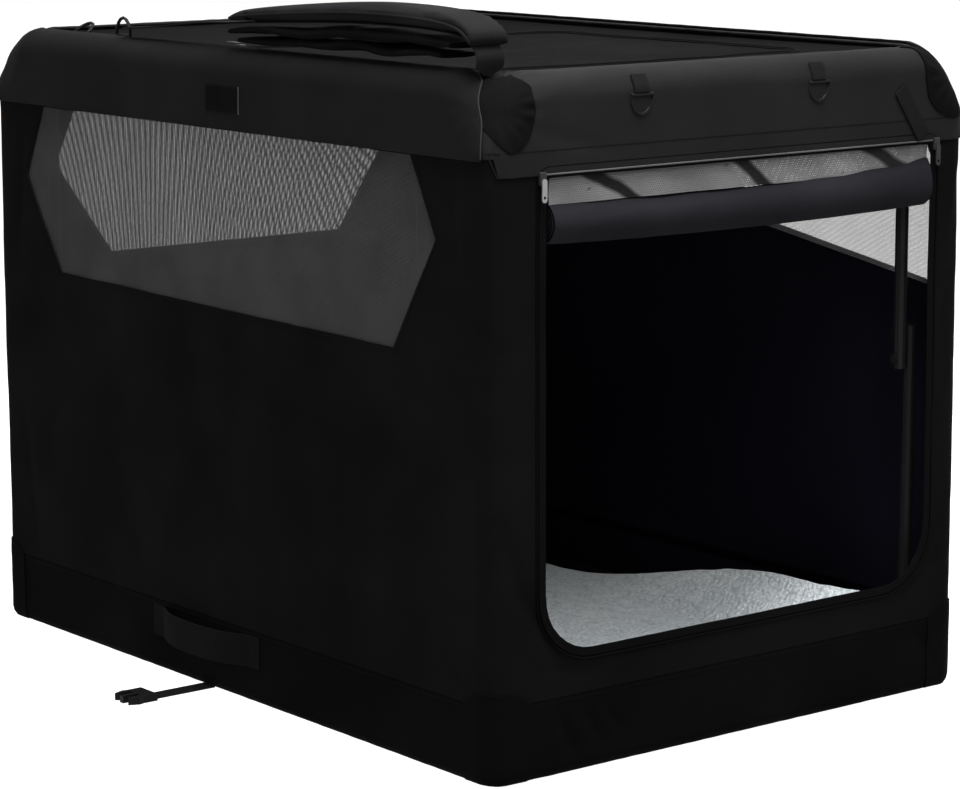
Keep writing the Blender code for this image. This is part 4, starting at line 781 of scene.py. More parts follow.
def neighbours(items, number, closed=False):
    """The items before and after one of a list, or the item itself at an open end."""
    last = len(items) - 1
    before = items[number - 1] if number or closed else items[0]
    after = items[(number + 1) % len(items)] if number < last or closed else items[last]
    return before, after


def cover_stations(side, places, lift=0.0, closed=False):
    """Stations on the cover through flat places (along, up), lying on the cloth."""

    def spot(place, height):
        return cover(MIDDLES[side] + place[0], place[1], height)

    found = []
    for number, place in enumerate(places):
        before, after = neighbours(places, number, closed)
        here = spot(place, lift)
        out = (spot(place, lift + 0.001) - here).normalized()
        ahead = (spot(after, lift) - spot(before, lift)).normalized()
        across = ahead.cross(out).normalized()
        found.append((here, across, across.cross(ahead).normalized()))
    return found


def sewn_on(name, side, places, section, material, lift, where, closed=False, nodes=()):
    """Sew a tape, cord or piping on to the cover, along flat places."""
    stations = cover_stations(side, places, lift, closed)
    fasten(sweep(name, stations, section, material, closed), where, nodes)


def line_places(corners, step=0.008, closed=False):
    """Flat places at even steps along straight edges."""
    places = []
    ends = corners[1:] + corners[:1] if closed else corners[1:]
    for (x0, y0), (x1, y1) in zip(corners, ends):
        parts = max(1, round(math.hypot(x1 - x0, y1 - y0) / step))
        for part in range(parts):
            share = part / parts
            places.append((x0 + (x1 - x0) * share, y0 + (y1 - y0) * share))
    return places if closed else places + corners[-1:]


def round_line(height, step=0.010):
    """Flat places all round the crate at one height."""
    return line_places([(-GIRTH / 2, height), (GIRTH / 2, height)], step)


def rounded_outline(left, low, right, high, bends, steps=6):
    """A rectangle with rounded corners, anticlockwise from the top right."""
    corners = ((right, high, 1, 1), (left, high, -1, 1), (left, low, -1, -1), (right, low, 1, -1))
    outline = []
    for number, (x, y, sign_x, sign_y) in enumerate(corners):
        bend = bends[number]
        for step in range(steps + 1):
            angle = (number + step / steps) * math.pi / 2
            across = x - sign_x * bend + bend * math.cos(angle)
            up = y - sign_y * bend + bend * math.sin(angle)
            outline.append((across, up))
    return outline


# %% Rows of stitches
STITCH_LONG = 0.0034
STITCH_STEP = 0.0048
STITCH_THICK = 0.0007
STITCH_LIFT = 0.0002


def stitch_row(shape, stations):
    """Add a small bar for every stitch along some stations."""
    travelled = 0.0
    following = 0.0
    for (here, across, out), (there, _, _) in zip(stations, stations[1:]):
        gap = (there - here).length
        while following <= travelled + gap and gap > 0:
            place = here.lerp(there, (following - travelled) / gap)
            turn = Matrix((across, (there - here).normalized(), out)).transposed().to_4x4()
            made = bmesh.ops.create_cube(shape, size=1)["verts"]
            bmesh.ops.scale(shape, verts=made, vec=(STITCH_THICK, STITCH_LONG, STITCH_THICK))
            move = Matrix.Translation(place + out * STITCH_LIFT)
            bmesh.ops.transform(shape, matrix=move @ turn, verts=made)
            following += STITCH_STEP
        travelled += gap


def stitches(name, rows, where):
    """One object with several rows of stitches."""
    shape = bmesh.new()
    for row in rows:
        stitch_row(shape, row)
    keep_flat_map(shape)
    thing = to_object(shape, name, THREAD)
    fasten(thing, where)
    print(f"{name}: {len(thing.data.polygons) // 6} stitches")


# %% [markdown]
# ## Walls, windows and the doorway
# Each wall is one panel between the base seam and the top seam, reaching half way round the upright
# edges. Its window or doorway is cut from the flat panel. On the real crate the cut edge is turned in
# over the net behind it, so the wall has a clean edge with one row of stitches beside it.

# %% Outlines of the openings
DOOR_LEFT = -0.294
DOOR_RIGHT = 0.304
DOOR_LOW = 0.142
DOOR_HIGH = 0.678
DOOR_TOP_BEND = 0.012
DOOR_LOW_BEND = 0.070
DOOR_BENDS = (DOOR_TOP_BEND, DOOR_TOP_BEND, DOOR_LOW_BEND, DOOR_LOW_BEND)
OPENINGS = {
    "left": [
        (0.383, 0.6965), (-0.399, 0.6965), (-0.445, 0.605), (-0.366, 0.484), (0.350, 0.476), (0.429, 0.605),
    ],
    "rear": [
        (0.235, 0.6965), (-0.235, 0.6965), (-0.275, 0.605), (-0.190, 0.480), (0.190, 0.480), (0.275, 0.605),
    ],
    "right": [
        (-0.136, 0.6965), (-0.446, 0.6965), (-0.482, 0.620),
        (-0.482, 0.498), (-0.172, 0.548), (-0.100, 0.620),
    ],
    "front": rounded_outline(DOOR_LEFT, DOOR_LOW, DOOR_RIGHT, DOOR_HIGH, DOOR_BENDS),
}

# %% Three walls
WALL_GAP = 0.0007
WALL_LOW = BASE_SEAM + WALL_GAP
WALL_HIGH = TOP_SEAM - WALL_GAP


def wall_piece(name, side, left, right, low, high, nodes=()):
    """Cut one panel of a wall, take the opening out of it, and wrap it on."""
    panel = flat_piece(left, right, low, high)
    cut_out(panel, OPENINGS[side])
    wrap(panel, name, side, 0.0, WALL, "walls", nodes, lining=LINING)


for side in ("left", "rear", "right"):
    half = RUNS[side] / 2 + ARC / 2
    wall_piece(side + "_wall_cloth", side, -half, half, WALL_LOW, WALL_HIGH, [side + "_wall"])

# %% [markdown]
# The front wall is nearly all doorway, and a piece with so large a hole would waste the cloth. So it is
# sewn from four strips: a sill with the rounded lower corners, two jambs, and a head over the door.

# %% The front wall
SILL_HIGH = DOOR_LOW + DOOR_LOW_BEND
HEAD_LOW = DOOR_HIGH - DOOR_TOP_BEND
half = RUNS["front"] / 2 + ARC / 2
wall_piece("front_wall_sill", "front", -half, half, WALL_LOW, SILL_HIGH, ["front_wall"])
wall_piece("front_wall_left_jamb", "front", -half, DOOR_LEFT, SILL_HIGH, HEAD_LOW)
wall_piece("front_wall_right_jamb", "front", DOOR_RIGHT, half, SILL_HIGH, HEAD_LOW)
wall_piece("front_wall_head", "front", -half, half, HEAD_LOW, WALL_HIGH)

# %% The three nets, sewn behind the windows
NET_DEPTH = 0.0026
NET_SEAM = 0.006


def widened(outline, amount):
    """An outline moved out from its middle."""
    middle_x, middle_y = [sum(place[n] for place in outline) / len(outline) for n in (0, 1)]
    wide = []
    for x, y in outline:
        wide.append((x + math.copysign(amount, x - middle_x), y + math.copysign(amount, y - middle_y)))
    return wide


for side, material in (("left", SIDE_NET), ("rear", REAR_NET), ("right", LIT_RIGHT_NET)):
    outline = widened(OPENINGS[side], NET_SEAM)
    across, up = zip(*outline)
    net = flat_piece(min(across), max(across), min(up), max(up), 0.010)
    keep_inside(net, outline)
    nodes = [side + "_window_mesh"]
    wrap(net, side + "_window_net", side, -NET_DEPTH, material, "walls", nodes, thick=0.0004)

# %% [markdown]
# ## The padded band, the border and their seams
# A band of the same cloth runs round the floor, and a border with a soft filling runs round the roof.
# They could be cut side by side, but both are sewn from one strip into a ring, so here too each is one
# flat strip as long as the girth. A tape closes each seam on the inside.

# %% Base band, top border and seam tapes
BORDER_LIFT = 0.0019
TAPE_DEPTH = 0.0032
FRONT_SEAM = DOOR_HIGH + 0.0020


def border_low(along):
    """The border reaches lower on the front, down to the doorway."""
    return FRONT_SEAM if abs(along) < RUNS["front"] / 2 + ARC * 0.4 else TOP_SEAM


band = flat_piece(-GIRTH / 2, GIRTH / 2, HEM_EDGE, BASE_SEAM)
wrap(band, "base_band_cloth", "front", 0.0, BAND, "band", ["base_band"], lining=LINING)
border = flat_piece(-GIRTH / 2, GIRTH / 2, TOP_SEAM, ROOF_EDGE, 0.005, bottom=border_low)
wrap(border, "top_border_cloth", "front", BORDER_LIFT, BORDER, "border", ["top_border"])
for name, height, where in (("base_seam_tape", BASE_SEAM, "band"), ("top_seam_tape", TOP_SEAM, "border")):
    ring = round_line(height)[:-1]
    sewn_on(name, "front", ring, flat_section(0.010, 0.0012), BINDING, -TAPE_DEPTH, where, closed=True)

# %% [markdown]
# ## Patches on the corners
# Every corner is doubled with a patch, because the tube rubs there. Seen from the door the upper ones
# are round lobes, and on the long sides they end under the flap. A patch could be cut as a separate
# outline, but its edge is a smooth curve along the girth, so it is a strip whose edges follow curves.

# %% Corner patches
CORNER_NAMES = ("rear_right", "rear_left", "front_left", "front_right")
PATCH_TOP = ROLL_START + ROLL_ARC + BORDER_LIP * 0.3
PATCH_LIFT = 0.0036
BASE_PATCH_LIFT = 0.0018
BASE_PATCH_HUMP = 0.016
SIDE_REACH = 0.075
ROUNDED_REACH = 0.031
STRAIGHT_REACH = 0.050
BASE_HALF = ARC / 2 + 0.055 - EDGE_BEND
# Heights of the patch's edges: under the flap, at the corner, at the lobe's lowest, and at its tip.
FLAP_END_LOW = 0.7585
CORNER_LOW = 0.748
LOBE_LOW = 0.706
TIP_LOW = 0.7520
TIP_HIGH = 0.7535


def smooth_step(value):
    value = min(max(value, 0), 1)
    return value * value * (3 - 2 * value)


def patch_edges(turned, rounded, end_reach):
    """The low and the high edge of an upper patch, from its long side (negative) to its end (positive)."""

    def bow(along):
        share = min((along - ARC / 2) / end_reach, 1)
        return math.sqrt(max(1 - share ** 2, 0))

    def low(along):
        along = along * turned
        if along < -ARC / 2:
            return CORNER_LOW + (FLAP_END_LOW - CORNER_LOW) * min((-ARC / 2 - along) / SIDE_REACH, 1)
        if along < ARC / 2:
            return CORNER_LOW + (LOBE_LOW - CORNER_LOW) * smooth_step(along / ARC + 0.5)
        return LOBE_LOW + (TIP_LOW - LOBE_LOW) * (1 - bow(along))

    def high(along):
        along = along * turned
        if not rounded or along < ARC / 2:
            return PATCH_TOP
        return TIP_HIGH + (PATCH_TOP - TIP_HIGH) * bow(along)

    return low, high


def base_patch_top(along):
    """The upper edge of a lower patch: a low hump over the corner."""
    share = min(abs(along) / BASE_HALF, 1)
    return BASE_SEAM - 0.0003 + BASE_PATCH_HUMP * (1 - share ** 3.0)


def corner_patch(level_name, corner, patch, lift, material, where):
    """Move a patch to its corner and wrap it on."""
    side = SIDES[CORNER_NAMES.index(corner)]
    middle = MIDDLES[side] - RUNS[side] / 2 - ARC / 2 - MIDDLES["front"]
    bmesh.ops.translate(patch, vec=(middle, 0, 0), verts=patch.verts)
    name = level_name + "_patch_cloth_" + corner
    wrap(patch, name, "front", lift, material, where, [level_name + "_patch_" + corner])


for number, corner in enumerate(CORNER_NAMES):
    turned = -1 if number % 2 else 1
    rounded = corner.endswith("left")
    end_reach = ROUNDED_REACH if rounded else STRAIGHT_REACH
    left, right = sorted((-turned * (ARC / 2 + SIDE_REACH), turned * (ARC / 2 + end_reach)))
    patch = flat_piece(left, right, LOBE_LOW, PATCH_TOP, 0.004, *patch_edges(turned, rounded, end_reach))
    corner_patch("top", corner, patch, PATCH_LIFT, PATCH_CLOTH, "border")
    low = HEM_BEND - HEM_ARC / 2
    patch = flat_piece(-BASE_HALF, BASE_HALF, low, BASE_SEAM, 0.005, top=base_patch_top)
    corner_patch("base", corner, patch, BASE_PATCH_LIFT, BAND, "band")

# %% [markdown]
# ## The long flaps and the label
# Along each long side a flap comes down from the border and covers the top seam of the window, so that
# rain runs off. It could be part of the border, but its rounded ends lie loose over the patches, so it
# is a strip of its own. The flap on the left carries a small label, which is left bare here.

# %% Flaps and label
FLAP_LOW = 0.698
FLAP_LIFT = 0.0052
FLAP_END_HIGH = 0.742
FLAP_END_BEND = 0.055
FLAP_HALF = RUNS["left"] / 2 + ARC / 4
LABEL_LEFT = -0.012
LABEL_RIGHT = 0.056
LABEL_LOW = 0.718
LABEL_HIGH = 0.748


def flap_top(along):
    """The upper edge of a flap: it runs over the roll and comes down in a curve at both ends."""
    share = min(max((FLAP_HALF - abs(along)) / FLAP_END_BEND, 0), 1)
    return FLAP_END_HIGH + (PATCH_TOP - FLAP_END_HIGH) * math.sqrt(1 - (1 - share) ** 2)


for side in ("left", "right"):
    flap = flat_piece(-FLAP_HALF, FLAP_HALF, FLAP_LOW, PATCH_TOP, 0.005, top=flap_top)
    wrap(flap, side + "_flap_cloth", side, FLAP_LIFT, FLAP_CLOTH, "border", [side + "_flap"])
label = flat_piece(LABEL_LEFT, LABEL_RIGHT, LABEL_LOW, LABEL_HIGH, 0.004)
wrap(label, "bare_label", "left", FLAP_LIFT + 0.0010, LABEL, "border", ["label_tab"], 0.0009)
label_ends = [(LABEL_RIGHT + 0.001, LABEL_LOW - 0.0015), (LABEL_RIGHT + 0.001, LABEL_HIGH + 0.0015)]
label_edge = line_places(label_ends, 0.003)
sewn_on("label_edge_tape", "left", label_edge, round_section(0.0007), PIPING, FLAP_LIFT + 0.0004, "border")

# %% [markdown]
# ## The roof
# The roof is one cloth sewn to the border, with a zipped door in it. It sags a little between its edges.
# A draped simulation would sag too, but the CAD says how deep it hangs, so the flat grid is simply moved
# on to the CAD roof's own curve, with a few slack folds.

# %% Roof cloth and roof door
ROOF_SAG = 0.010
ROOF_INSET = SKIN_INSET + level(ROOF_EDGE)[1] + 0.0003
ROOF_HALF_X = HALF_X - ROOF_INSET
ROOF_HALF_Y = HALF_Y - ROOF_INSET
ROOF_DOOR_BEND = 0.050
ROOF_DOOR_GAP = 0.0006


def roof_height(x, y):
    """The roof hangs a little between its edges."""
    share_x = min(abs(x) / HALF_X, 1)
    share_y = min(abs(y) / HALF_Y, 1)
    hang = (1 - share_x ** 4) * (1 - share_y ** 4)
    slack = 0.0018 * hang * ripple(x * 9, y * 6, 1.0) + 0.0009 * hang * ripple(x * 22, y * 22, 4.0)
    return ROLL_TOP - ROOF_SAG * hang + slack


def roof_point(x, y):
    """A point of the roof cloth, drawn down at the corners as the border is."""
    edge = soften(Vector((x, y, ROLL_TOP)))
    return Vector((edge.x, edge.y, roof_height(x, y) - (ROLL_TOP - edge.z)))


def roof_door_line(inset, bend, steps=6):
    """The roof door's outline, moved in or out."""
    return rounded_outline(-0.255 + inset, -0.370 + inset, 0.255 - inset, 0.130 - inset, (bend,) * 4, steps)


def roof_piece(name, keep, cut, node, body):
    """Cut the roof or its door from a flat grid, and hang it."""
    piece = flat_piece(-ROOF_HALF_X, ROOF_HALF_X, -ROOF_HALF_Y, ROOF_HALF_Y, 0.010)
    keep_inside(piece, keep)
    if cut:
        cut_out(piece, cut)
    sew(piece, name, roof_point, SHADED_ROOF_CLOTH, body, [node])


roof_edge = rounded_outline(-ROOF_HALF_X, -ROOF_HALF_Y, ROOF_HALF_X, ROOF_HALF_Y, (LEAST_BEND,) * 4)
door_edge = roof_door_line(ROOF_DOOR_GAP, ROOF_DOOR_BEND - ROOF_DOOR_GAP)
# The roof itself is held by its frame and doesn't flatten, so it names its body.
roof_piece("roof_cloth", roof_edge, roof_door_line(0, ROOF_DOOR_BEND), "roof_panel", "top")
roof_piece("roof_door_cloth", door_edge, None, "roof_door", "roof_door")

# %% [markdown]
# ## The rolled door
# The door is a panel with a net top. Open, it is rolled outside-in and held under the top seam by a tie
# at its right-hand end. A plain cylinder would show no turns at its ends. The CAD rolls it as a spiral;
# here the same spiral is one long grid wound up, with creases along it where it was rolled by hand.

# %% Door roll
ROLL_RADIUS = 0.025
ROLL_Z = 0.6245
ROLL_SAG = 0.005
ROLL_Y = -HALF_Y + 0.020
ROLL_SHEET = 0.0030
ROLL_PITCH = 0.0042
ROLL_CORE = 0.007
ROLL_FIRST = 0.31
ROLL_LEFT = DOOR_LEFT + 0.010
ROLL_RIGHT = DOOR_RIGHT - 0.003
ROLL_LONG = ROLL_RIGHT - ROLL_LEFT
ROLL_TURNS = (ROLL_RADIUS - ROLL_CORE - ROLL_SHEET) / ROLL_PITCH


def roll_point(x, wound):
    """A point of the outer face of the roll, wound turns in from its outer edge."""
    angle = 2 * math.pi * (ROLL_FIRST + wound)
    outer = max(1 - wound, 0.2)
    crease = 0.0010 * ripple(x * 7 + angle * 0.5, wound * 6, 2.0)
    crease += 0.0006 * ripple(x * 26 + angle, wound * 11, 5.0)
    radius = ROLL_RADIUS - ROLL_PITCH * wound + crease * outer
    along = (x - ROLL_LEFT) / ROLL_LONG
    rise = max(math.sin(angle), 0) * radius * 0.60 * along ** 3
    sag = ROLL_SAG * 4 * along * (1 - along)
    return Vector((x, ROLL_Y + radius * math.cos(angle), ROLL_Z + radius * math.sin(angle) + rise - sag))


def make_roll():
    shape = bmesh.new()
    bmesh.ops.create_grid(shape, x_segments=90, y_segments=round(ROLL_TURNS * 36), size=0.5)
    for vert in shape.verts:
        vert.co = Vector((ROLL_LEFT + ROLL_LONG * (vert.co.x + 0.5), (vert.co.y + 0.5) * ROLL_TURNS, 0))
    flat = shape.loops.layers.uv.new("flat")
    length = 0.0
    for face in shape.faces:
        for loop in face.loops:
            x, wound, _ = loop.vert.co
            wound_length = 2 * math.pi * (ROLL_RADIUS * wound - ROLL_PITCH * wound * wound / 2)
            loop[flat].uv = (x, wound_length)
            length = max(length, wound_length)
    for vert in shape.verts:
        vert.co = roll_point(vert.co.x, vert.co.y)
    bmesh.ops.recalc_face_normals(shape, faces=shape.faces)
    bmesh.ops.solidify(shape, geom=list(shape.faces), thickness=-CLOTH_THICK)
    bmesh.ops.recalc_face_normals(shape, faces=shape.faces)
    thing = to_object(shape, "door_roll_cloth", ROLL_CLOTH)
    fasten(thing, "walls", ["door_roll"])
    print("rolled length:", round(length, 3), "m")


make_roll()

# %% The net strip above the roll
STRIP_FACE = -HALF_Y + SKIN_INSET + 0.0025 + 0.0003
STRIP_LOW = ROLL_Z + 0.0215
STRIP_HIGH = DOOR_HIGH + 0.008


def strip_point(x, z):
    """A point of the net, which waves more towards the roll that it hangs down to."""
    share = (z - STRIP_LOW) / (STRIP_HIGH - STRIP_LOW)
    wave = 0.0011 * (1 + math.sin(x * 66 + share * 2.6)) * (1 - share * share)
    return Vector((x, STRIP_FACE + wave, z))


strip = flat_piece(ROLL_LEFT, ROLL_RIGHT, STRIP_LOW, STRIP_HIGH, 0.004)
sew(
    strip, "door_net_strip", strip_point, DOOR_NET, "walls", ["door_mesh"], 0.0005,
)

# %% [markdown]
# ## The zip round the doorway, piping and stitches
# The doorway is edged with a glossy binding and the zip's own tape with its coil. A coil is a spiral of
# nylon and could be wound as one; at this size it reads as a fine cord with a ribbed surface, so it is a
# swept cord whose weave gives the ribs. Piping and rows of stitches follow the same kind of lines.

# %% Binding and coil of the doorway


def door_line(out):
    """The doorway's outline, moved out."""
    bends = (DOOR_TOP_BEND + out * 0.5,) * 2 + (DOOR_LOW_BEND + out,) * 2
    outline = rounded_outline(DOOR_LEFT - out, DOOR_LOW - out, DOOR_RIGHT + out, DOOR_HIGH + out, bends, 8)
    return line_places(outline, 0.006, closed=True)


for name, out, section, lift in (
    ("doorway_binding", 0.003, flat_section(0.010, 0.0016), 0.0),
    ("doorway_zip_coil", 0.0105, round_section(0.0013), 0.0008),
):
    sewn_on(name, "front", door_line(out), section, BINDING, lift, "walls", closed=True)

# %% Piping and stitches along the seams


def piped(name, side, places, radius, material, lift, closed=False):
    """A piping along a line on the top cloth."""
    sewn_on(name, side, places, round_section(radius), material, lift, "border", closed)


seam = [(along, border_low(along)) for along, _ in round_line(0, 0.008)[:-1]]
piped("top_seam_piping", "front", seam, 0.0012, DARK_PIPING, BORDER_LIFT - 0.0006, True)
over_door = line_places([(DOOR_LEFT - 0.004, FRONT_SEAM), (DOOR_RIGHT, FRONT_SEAM)])
piped("piping_over_the_door", "front", over_door, 0.0010, PIPING, BORDER_LIFT)
flap_edge = [(FLAP_HALF, FLAP_LOW + 0.002 + number * 0.004) for number in range(11)]
for number in range(1, 15):
    along = FLAP_HALF - FLAP_END_BEND * (1 - math.cos(math.pi / 2 * number / 14))
    flap_edge.append((along, flap_top(along)))
for side, front_sign in (("left", 1), ("right", -1)):
    for end, sign in (("front", front_sign), ("rear", -front_sign)):
        edge = [(sign * along, up) for along, up in flap_edge]
        piped(side + "_flap_" + end + "_piping", side, edge, 0.0009, DIM_PIPING, FLAP_LIFT - 0.0002)
    low_edge = line_places([(-FLAP_HALF, FLAP_LOW), (FLAP_HALF, FLAP_LOW)])
    piped(side + "_flap_hem_piping", side, low_edge, 0.0009, DARK_PIPING, FLAP_LIFT - 0.0006)

stitches("base_seam_stitches", [cover_stations("front", round_line(BASE_SEAM - 0.004))], "band")
window_rows = []
for side in ("left", "rear", "right"):
    window_rows.append(cover_stations(side, line_places(widened(OPENINGS[side], 0.004), 0.01, closed=True)))
stitches("window_stitches", window_rows, "walls")
stitches("top_seam_stitches", [cover_stations("front", round_line(TOP_SEAM + 0.006), BORDER_LIFT)], "border")

# %% The zip of the roof door
UPWARDS = Vector((0, 0, 1))


def roof_stations(places, lift):
    """Stations on the roof cloth through places (x, y) of a closed line."""
    found = []
    for number, (x, y) in enumerate(places):
        before, after = neighbours(places, number, closed=True)
        ahead = Vector((after[0] - before[0], after[1] - before[1], 0)).normalized()
        found.append((Vector((x, y, roof_height(x, y) + lift)), ahead.cross(UPWARDS), UPWARDS))
    return found


roof_line = line_places(roof_door_line(-0.0002, ROOF_DOOR_BEND, 8), closed=True)
for name, section, lift in (
    ("roof_zip_tape", flat_section(0.016, 0.0008), 0.0001), ("roof_zip_coil", round_section(0.0012), 0.0012),
):
    fasten(sweep(name, roof_stations(roof_line, lift), section, BINDING, closed=True), "top")

# %% [markdown]
# ## Webbing: strap, tabs, handles and ties
# Webbing is a flat, tightly woven tape. A thin box could be bent into it, but it would crease at each
# bend. It is carried along its line as the piping is, and its own lengths carry the ribbed weave.

# %% Lines for webbing


def smooth_line(points, steps=6):
    """Points of a smooth curve through a few hand-set points."""
    known = [Vector(p) for p in points]
    known = [2 * known[0] - known[1]] + known + [2 * known[-1] - known[-2]]
    path = []
    for n in range(1, len(known) - 2):
        a, b, c, d = known[n - 1:n + 3]
        for step in range(steps):
            t = step / steps
            square = (2 * a - 5 * b + 4 * c - d) * t ** 2
            cube = (3 * b - a - 3 * c + d) * t ** 3
            path.append((2 * b + (c - a) * t + square + cube) / 2)
    path.append(known[-2])
    return path


def webbing_piece(name, path, across, widths, thick, material=WEBBING):
    """A tape along a line through the air. Its width lies along one direction and may differ by point."""
    across = Vector(across).normalized()
    widest = max(widths)
    stations = []
    for number, place in enumerate(path):
        before, after = neighbours(path, number)
        out = across.cross((after - before).normalized()).normalized()
        stations.append((place, across * (widths[number] / widest), out))
    return sweep(name, stations, flat_section(widest, thick, -thick / 2), material)


# %% Shoulder strap
STRAP_X = -0.335
STRAP_REAR = 0.236
STRAP_FRONT = -0.486
STRAP_PEAK = 0.832
STRAP_WIDE = 0.038
STRAP_NARROW = 0.012
STRAP_TAPER = 0.009
CAD_GAP = 0.0003
RING_WIRE = 0.0022
RING_DROP = 0.022
RING_HALF = 0.016
STRAP_LOW = HEIGHT + CAD_GAP + RING_WIRE + RING_DROP / 2
# How far along the strap, and what share of its rise.
STRAP_SHARES = (
    (0.00, 0.00), (0.08, 0.13), (0.157, 0.30), (0.248, 0.52), (0.357, 0.66), (0.50, 0.84),
    (0.64, 1.00), (0.74, 1.06), (0.84, 1.05), (0.92, 0.97), (0.968, 0.80), (0.992, 0.40), (1.00, 0.03),
)
strap_run = STRAP_FRONT - STRAP_REAR
strap_rise = STRAP_PEAK - STRAP_LOW
strap_points = [
    Vector((STRAP_X, STRAP_REAR + strap_run * along, STRAP_LOW + strap_rise * up))
    for along, up in STRAP_SHARES
]
strap_seat = soften(Vector((STRAP_X + 0.006, STRAP_FRONT + 0.009, HEIGHT))).z + CAD_GAP
strap_points.append(Vector((STRAP_X, STRAP_FRONT + 0.0045, strap_seat)))
strap_path = smooth_line(strap_points)
strap_widths = []
for place in strap_path:
    from_end = min((place - strap_path[0]).length, (place - strap_path[-1]).length)
    share = min(from_end / STRAP_TAPER, 1)
    strap_widths.append(STRAP_NARROW + (STRAP_WIDE - STRAP_NARROW) * share)
strap = webbing_piece("carrying_strap", strap_path, (1, 0, 0), strap_widths, 0.0016)
fasten(strap, "strap", ["shoulder_strap"])
print("points along the strap:", len(strap_path))

# %% Handles
HANDLE_CENTRE = 0.040
HANDLE_HALF = 0.117
HANDLE_Z = 0.066
HANDLE_WIDE = 0.040
HANDLE_FACE = HALF_X - SKIN_INSET + CAD_GAP + 0.0008
HANDLE_SEWN = 1 - 0.022 / HANDLE_HALF
# How far along half a handle, and what share of its bow.
HANDLE_SHARES = ((-1, 0), (-HANDLE_SEWN, 0), (-0.45, 0.8), (0, 1), (0.45, 0.8), (HANDLE_SEWN, 0), (1, 0))

for name, side in (("left", -1), ("right", 1)):
    path = smooth_line([
        (side * (HANDLE_FACE + 0.020 * bow), HANDLE_CENTRE + HANDLE_HALF * along, HANDLE_Z)
        for along, bow in HANDLE_SHARES
    ], 8)
    for point in path:
        point.x = side * max(side * point.x, HANDLE_FACE)
    widths = [HANDLE_WIDE] * len(path)
    handle = webbing_piece(name + "_grab_handle", path, (0, 0, side), widths, 0.0018, HANDLE_CLOTH)
    fasten(handle, name + "_handle", [name + "_handle"])

# %% Tabs that carry the rings
TAB_SECTION = flat_section(0.022, 0.0022)
strap_ring_y = STRAP_REAR + 0.0006 + RING_WIRE + RING_HALF * 0.85
for name, side, along, low, long, node in (
    ("front_left_ring_tab", "front", -0.157, ROLL_START, 0.019, "front_left_tab"),
    ("front_right_ring_tab", "front", 0.114, ROLL_START, 0.019, "front_right_tab"),
    ("side_ring_tab", "left", -0.365, ROLL_START + ROLL_ARC / 3, 0.030, "side_tab"),
    ("strap_ring_tab", "left", -strap_ring_y, ROLL_START + ROLL_ARC / 2, 0.030, "strap_tab"),
):
    places = line_places([(along, low), (along, low + long)], 0.003)
    sewn_on(name, side, places, TAB_SECTION, WEBBING, BORDER_LIFT, "border", nodes=[node])

# %% Tie of the rolled door and the closure straps


def straight_tape(name, start, end, out, section):
    """A flat tape from one place to another."""
    start, end, out = Vector(start), Vector(end), Vector(out)
    across = (end - start).normalized().cross(out).normalized()
    stations = [(start.lerp(end, part / 8), across, out) for part in range(9)]
    return sweep(name, stations, section, WEBBING)


TIE_FACE = -HALF_Y + SKIN_INSET - BORDER_LIFT - 0.0012
TIE_TOP = (0.246, TIE_FACE, 0.744)
TIE_END = (0.286, TIE_FACE, 0.686)
tie = straight_tape("door_roll_tie", TIE_TOP, TIE_END, (0, -1, 0), flat_section(0.020, 0.0018))
fasten(tie, "top", ["door_tie"])

CLOSURE_Y = 0.045
CLOSURE_Z = 0.0004
CLOSURE_START = HALF_X - SKIN_INSET - HEM_BEND * 0.45
CLOSURE_END = 0.448
for name, side in (("left", -1), ("right", 1)):
    start = (side * CLOSURE_START, CLOSURE_Y, CLOSURE_Z)
    end = (side * CLOSURE_END, CLOSURE_Y, CLOSURE_Z)
    tape = straight_tape(name + "_closure_tape", start, end, UPWARDS, flat_section(0.025, 0.0016))
    fasten(tape, name + "_closure", [name + "_closure_strap"])

# %% [markdown]
# ## The shoulder pad and the mat
# Both are padded: a cloth skin over foam or wadding. They start as a slightly smaller closed shape, and
# the cloth simulation blows them up against their own stitching, which gives the crowned faces and the
# drawn-in sides that a bevelled block never has.

# %% Blowing up a padded shape


def bake(thing):
    """Apply every modifier of an object to its mesh."""
    seen = thing.evaluated_get(bpy.context.evaluated_depsgraph_get())
    mesh = bpy.data.meshes.new_from_object(seen)
    thing.modifiers.clear()
    material = thing.data.materials[0]
    thing.data = mesh
    mesh.materials.clear()
    mesh.materials.append(material)


def puff(thing, voxel, cap, pressure=4, frames=20):
    """Remesh a closed shape, let cloth pressure swell it, and cap how far each point moves."""
    remesh = thing.modifiers.new("remesh", "REMESH")
    remesh.mode = "VOXEL"
    remesh.voxel_size = voxel
    bake(thing)
    before = [vert.co.copy() for vert in thing.data.vertices]
    cloth = thing.modifiers.new("swell", "CLOTH")
    cloth.settings.use_pressure = True
    cloth.settings.uniform_pressure_force = pressure
    cloth.settings.effector_weights.gravity = 0
    scene = bpy.context.scene
    for number in range(1, frames + 1):
        scene.frame_set(number)
    bake(thing)
    scene.frame_set(1)
    for vert, start in zip(thing.data.vertices, before):
        moved = vert.co - start
        if moved.length > cap:
            vert.co = start + moved.normalized() * cap


# %% The pad
PAD_REAR = -0.015
PAD_SECTION = (
    (-0.46, -0.18), (-0.42, -0.38), (-0.25, -0.46), (0, -0.46), (0.25, -0.46), (0.42, -0.38), (0.46, -0.18),
    (0.46, 0.18), (0.40, 0.38), (0.22, 0.46), (0, 0.48), (-0.22, 0.46), (-0.40, 0.38), (-0.46, 0.18),
)
PAD_WIDE = 0.066
PAD_DEEP = 0.019


